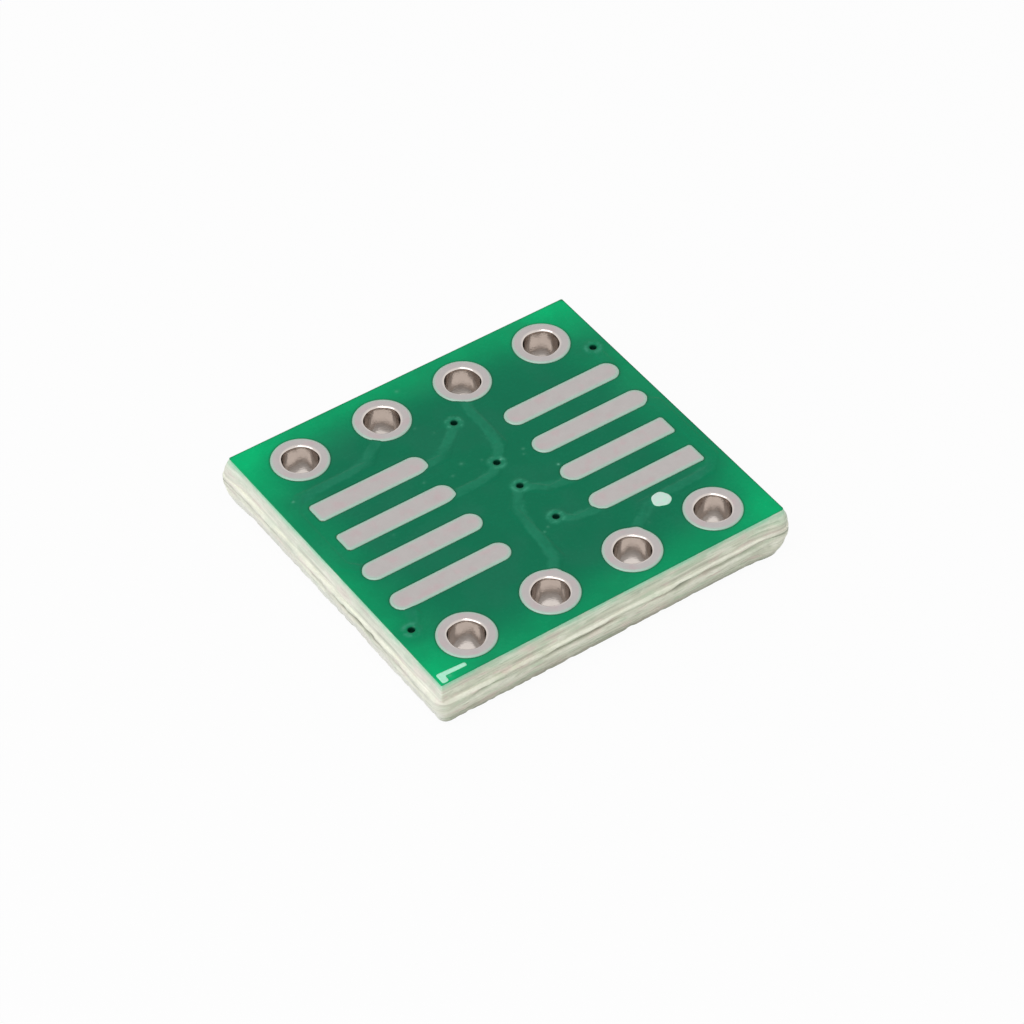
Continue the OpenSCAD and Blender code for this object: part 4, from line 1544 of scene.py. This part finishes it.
@dataclass
class AdapterBoard:
    """The whole board: laminate, masks, copper, tin and legend."""

    layout: Layout = field(default_factory=Layout)
    # places, sizes and strengths of dust, pimples and painted glints in the top mask
    dusts_and_glints: tuple[tuple[float, float, float, float], ...] = (
        (-0.5, 1.23, 0.045, 0.3), (-0.93, 0.99, 0.035, 0.25), (-1.68, 1.21, 0.03, 0.3),
        (-0.42, 2.59, 0.03, 0.15), (1.12, 0.76, 0.04, 0.3), (1.02, 0.59, 0.03, 0.25),
        (1.53, -0.24, 0.03, 1.0), (0.0, -1.94, 0.035, 0.25), (-0.17, -2.04, 0.035, 0.3),
        (-0.75, 3.01, 0.03, 0.2), (-0.35, 4.46, 0.045, 0.3), (-4.8, 2.56, 0.035, 0.5),
        (0.41, 0.76, 0.03, 1.0), (0.41, -0.29, 0.025, 0.35), (0.5, -1.73, 0.03, 0.4),
        (0.31, 2.62, 0.025, 0.3), (-4.74, -2.88, 0.025, 0.5), (-4.92, -4.74, 0.05, 0.4),
        (0.02, 1.05, 0.03, 0.2), (-3.35, 0.1, 0.03, 0.15), (2.2, -3.3, 0.03, 0.12),
    )

    def masks(self, finish: bpy.types.Material, edge: Array) -> tuple[SolderMask, SolderMask]:
        """Makes both solder masks.

        Args:
            finish: Their material.
            edge: The laminate's edge, level by level, whose ends give the masks' outlines.

        Returns:
            The top mask and the underside's.
        """
        layout = self.layout
        made = []
        for face, half, row, level, lands, node in (
            (Face.TOP, layout.top_half, 0, float(layout.high[2]), layout.wide_outline, "solder_mask_top"),
            (Face.UNDERSIDE, layout.under_half, -1, float(layout.low[2]), layout.fine_outline, "solder_mask_underside"),
        ):
            openings: list[Outline] = [lands(n) for n in layout.nets]
            openings += [layout.ring_outline(n, face) for n in layout.nets]
            dusts_and_glints = self.dusts_and_glints if face is Face.TOP else ()
            inset = 1.0 - (0.0 if face is Face.TOP else 0.02) / half
            mask = SolderMask(layout, face, half, edge[row, :, :2] * inset, level, openings=openings, dusts_and_glints=dusts_and_glints)
            mask.build(f"{node}_relief", finish, node)
            made.append(mask)
        return made[0], made[1]

    def tin(self, flat: bpy.types.Material) -> None:
        """Makes the tin on every land and in every hole."""
        layout = self.layout
        for n in layout.nets:
            top = TinPad(layout.wide_outline(n), float(layout.high[2]), layout.tin_top)
            top.build(f"wide_land_{n}_levelled", flat, f"wide_land_{n}_tin")
            under = TinPad(
                layout.fine_outline(n), float(layout.low[2]), 0.0,
                (-0.014, -0.013, -0.005, 0.007, 0.026, 0.06), (0.0, 0.42, 0.68, 0.84, 0.95, 1.0),
                (1.0, 1.0, 1.0, 0.9, 0.5, 0.0),
            )
            under.build(f"fine_land_{n}_levelled", flat, f"fine_land_{n}_tin")
            hole = HoleTin(layout, n, layout.tin_top)
            hole.build(f"header_hole_{n}_lining", flat, f"header_hole_{n}_tin")

    def build(self, frame: dict) -> None:
        """Makes and dresses every piece.
        """
        copper = CopperFinish().build()
        for n in self.layout.nets:
            node = frame["nodes"][f"net_{n}_copper"]
            node.data.materials.clear()
            node.data.materials.append(copper)
        laminate = Laminate(self.layout)
        laminate.build("laminate_snapped", LaminateFinish().build(), "laminate")
        top, under = self.masks(MaskFinish().build(), laminate.edge()[0])
        self.tin(TinFinish("levelled_tin").build())
        Legend(top, under, InkFinish().build()).build()


# Stage, light and camera


@dataclass(frozen=True)
class Studio:
    """A white table and backdrop in one, soft light from above and the photograph's camera."""

    table_size: float = 0.8
    table_white: Colour = (0.72, 0.72, 0.71)
    shadow_share: float = 0.05
    sky: float = 0.58
    # for each lamp its power, size, colour and place
    lamps: tuple[tuple[str, float, float, Colour, Point3], ...] = (
        ("softbox", 0.132, 0.19, (1.0, 0.985, 1.05), (-0.095, -0.04, 0.11)),
        ("overhead", 0.016, 0.026, (1.0, 0.98, 0.97), (-0.006, -0.008, 0.20)),
    )
    # brightness of the table inside the holes: full within the first distance of a hole's axis,
    # the least beyond the second
    hole_glow: tuple[float, float, float] = (0.27, 0.32, 0.24)
    # the camera, fitted to the header holes, from the middle of the hole pattern on the lands' plane
    camera_place: tuple[float, float, float] = (-42.0612, -62.1273, 74.1679)
    camera_right: tuple[float, float, float] = (0.820603, -0.571394, -0.010917)
    camera_down: tuple[float, float, float] = (-0.410868, -0.576571, -0.706225)
    camera_forward: tuple[float, float, float] = (0.397239, 0.584016, -0.707903)
    camera_drop: float = 0.015
    lens: float = 144.4
    sensor: float = 36.0

    def floor(self, layout: Layout) -> None:
        """The table: white for the camera and for reflections, with the object's shadow kept.

        Args:
            layout: The board's layout, for the shade under it.
        """
        size = self.table_size / 2.0
        mesh = bpy.data.meshes.new("table")
        corners = [(-size, -size, 0.0), (size, -size, 0.0), (size, size, 0.0), (-size, size, 0.0)]
        mesh.from_pydata(corners, [], [(0, 1, 2, 3)])
        table = bpy.data.objects.new("table", mesh)
        bpy.context.scene.collection.objects.link(table)
        material, tree, shader = new_material("table_white")
        shader.inputs["Base Color"].default_value = (*self.table_white, 1.0)
        shader.inputs["Roughness"].default_value = 0.9
        shader.inputs["Specular IOR Level"].default_value = 0.0
        glow = tree.add("Emission", {"Color": (1.0, 1.0, 1.0, 1.0), "Strength": 1.0})
        seen = self.seen_rays(tree)
        share = tree.math("MULTIPLY", tree.math("MULTIPLY", seen, 1.0 - self.shadow_share), self.lit(tree, layout))
        mixed = tree.add("MixShader", {0: share, 1: shader.outputs[0], 2: glow.outputs[0]})
        output = material.node_tree.nodes["Material Output"]
        material.node_tree.links.new(mixed.outputs[0], output.inputs["Surface"])
        mesh.materials.append(material)

    def lit(self, tree: Tree, layout: Layout) -> bpy.types.NodeSocket:
        """How bright the table is: 1 in the open, under the board only in the middle of a header hole.

        Args:
            tree: The table's material.
            layout: The board's layout.

        Returns:
            A value between the least and 1, from the distance to the nearest hole's axis.
        """
        place = tree.add("Mapping", {"Vector": tree.add("TexCoord").outputs["Object"], "Scale": (1.0 / MM,) * 3})
        axes = tree.add("SeparateXYZ", {0: place.outputs[0]}).outputs
        across = tree.math("SUBTRACT", tree.math("WRAP", axes[0], layout.pitch, 0.0), layout.pitch / 2.0)
        y = tree.math("ABSOLUTE", tree.math("SUBTRACT", axes[1], layout.grid_shift))
        away = tree.add("CombineXYZ", {"X": across, "Y": tree.math("SUBTRACT", y, layout.row_y)})
        radius = tree.add("VectorMath", {0: away.outputs[0]}, operation="LENGTH").outputs["Value"]
        inner, outer, least = self.hole_glow
        glow = tree.range(radius, inner, outer, 1.0, least)
        sides = [
            tree.math("SUBTRACT", tree.math("ABSOLUTE", axis), float(half))
            for axis, half in zip(axes, layout.under_half)
        ]
        open_air = tree.range(tree.math("MAXIMUM", *sides), -0.35, -0.15)
        return tree.math("MAXIMUM", glow, open_air)

    def seen_rays(self, tree: Tree) -> bpy.types.NodeSocket:
        """1 for rays from the camera and in reflections and glass, otherwise 0."""
        path = tree.add("LightPath").outputs
        both = tree.math("MAXIMUM", path["Is Camera Ray"], path["Is Glossy Ray"])
        return tree.math("MAXIMUM", both, path["Is Transmission Ray"])

    def world(self) -> None:
        """The sky: white for the camera, a plain soft light for the rest."""
        world = bpy.data.worlds.new("soft_white")
        world.use_nodes = True
        tree = Tree(world.node_tree)
        back = world.node_tree.nodes["Background"]
        back.inputs["Color"].default_value = (1.0, 1.0, 1.0, 1.0)
        strength = tree.range(self.seen_rays(tree), 0.0, 1.0, self.sky, 1.0)
        world.node_tree.links.new(strength, back.inputs["Strength"])
        bpy.context.scene.world = world

    def lights(self) -> None:
        """A soft lamp above and to the left, and a small one overhead for the holes' mouths."""
        for name, power, size, colour, place in self.lamps:
            lamp = bpy.data.lights.new(name, "AREA")
            lamp.energy, lamp.size, lamp.color = power, size, colour
            holder = bpy.data.objects.new(name, lamp)
            holder.location = place
            # a lamp shines along its own -Z, so its +Z is turned away from the board
            holder.rotation_euler = Vector(place).to_track_quat("Z", "Y").to_euler()
            bpy.context.scene.collection.objects.link(holder)

    def camera(self, layout: Layout) -> None:
        """The camera at the photograph's place and angle."""
        data = bpy.data.cameras.new("photo_camera")
        data.lens = self.lens
        data.sensor_width = self.sensor
        data.clip_start = 0.001
        data.clip_end = 10.0
        camera = bpy.data.objects.new("photo_camera", data)
        right, down, forward = map(np.array, (self.camera_right, self.camera_down, self.camera_forward))
        place = np.array(self.camera_place) + (0.0, layout.grid_shift, layout.tin_top) + self.camera_drop * down
        turned = np.eye(4)
        turned[:3, 0], turned[:3, 1], turned[:3, 2], turned[:3, 3] = right, -down, -forward, place * MM
        camera.matrix_world = Matrix(turned.tolist())
        bpy.context.scene.collection.objects.link(camera)
        bpy.context.scene.camera = camera

    def build(self, layout: Layout) -> None:
        """Makes the table, the light and the camera."""
        bpy.context.scene.view_settings.view_transform = "Standard"
        self.floor(layout)
        self.world()
        self.lights()
        self.camera(layout)


def main(frame: dict) -> None:
    """Builds the board and its studio.
    """
    logging.basicConfig(level=logging.INFO, format="%(name)s: %(message)s")
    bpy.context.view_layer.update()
    board = AdapterBoard()
    board.build(frame)
    Studio().build(board.layout)


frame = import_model()
if __name__ == "__main__":
    main(frame)
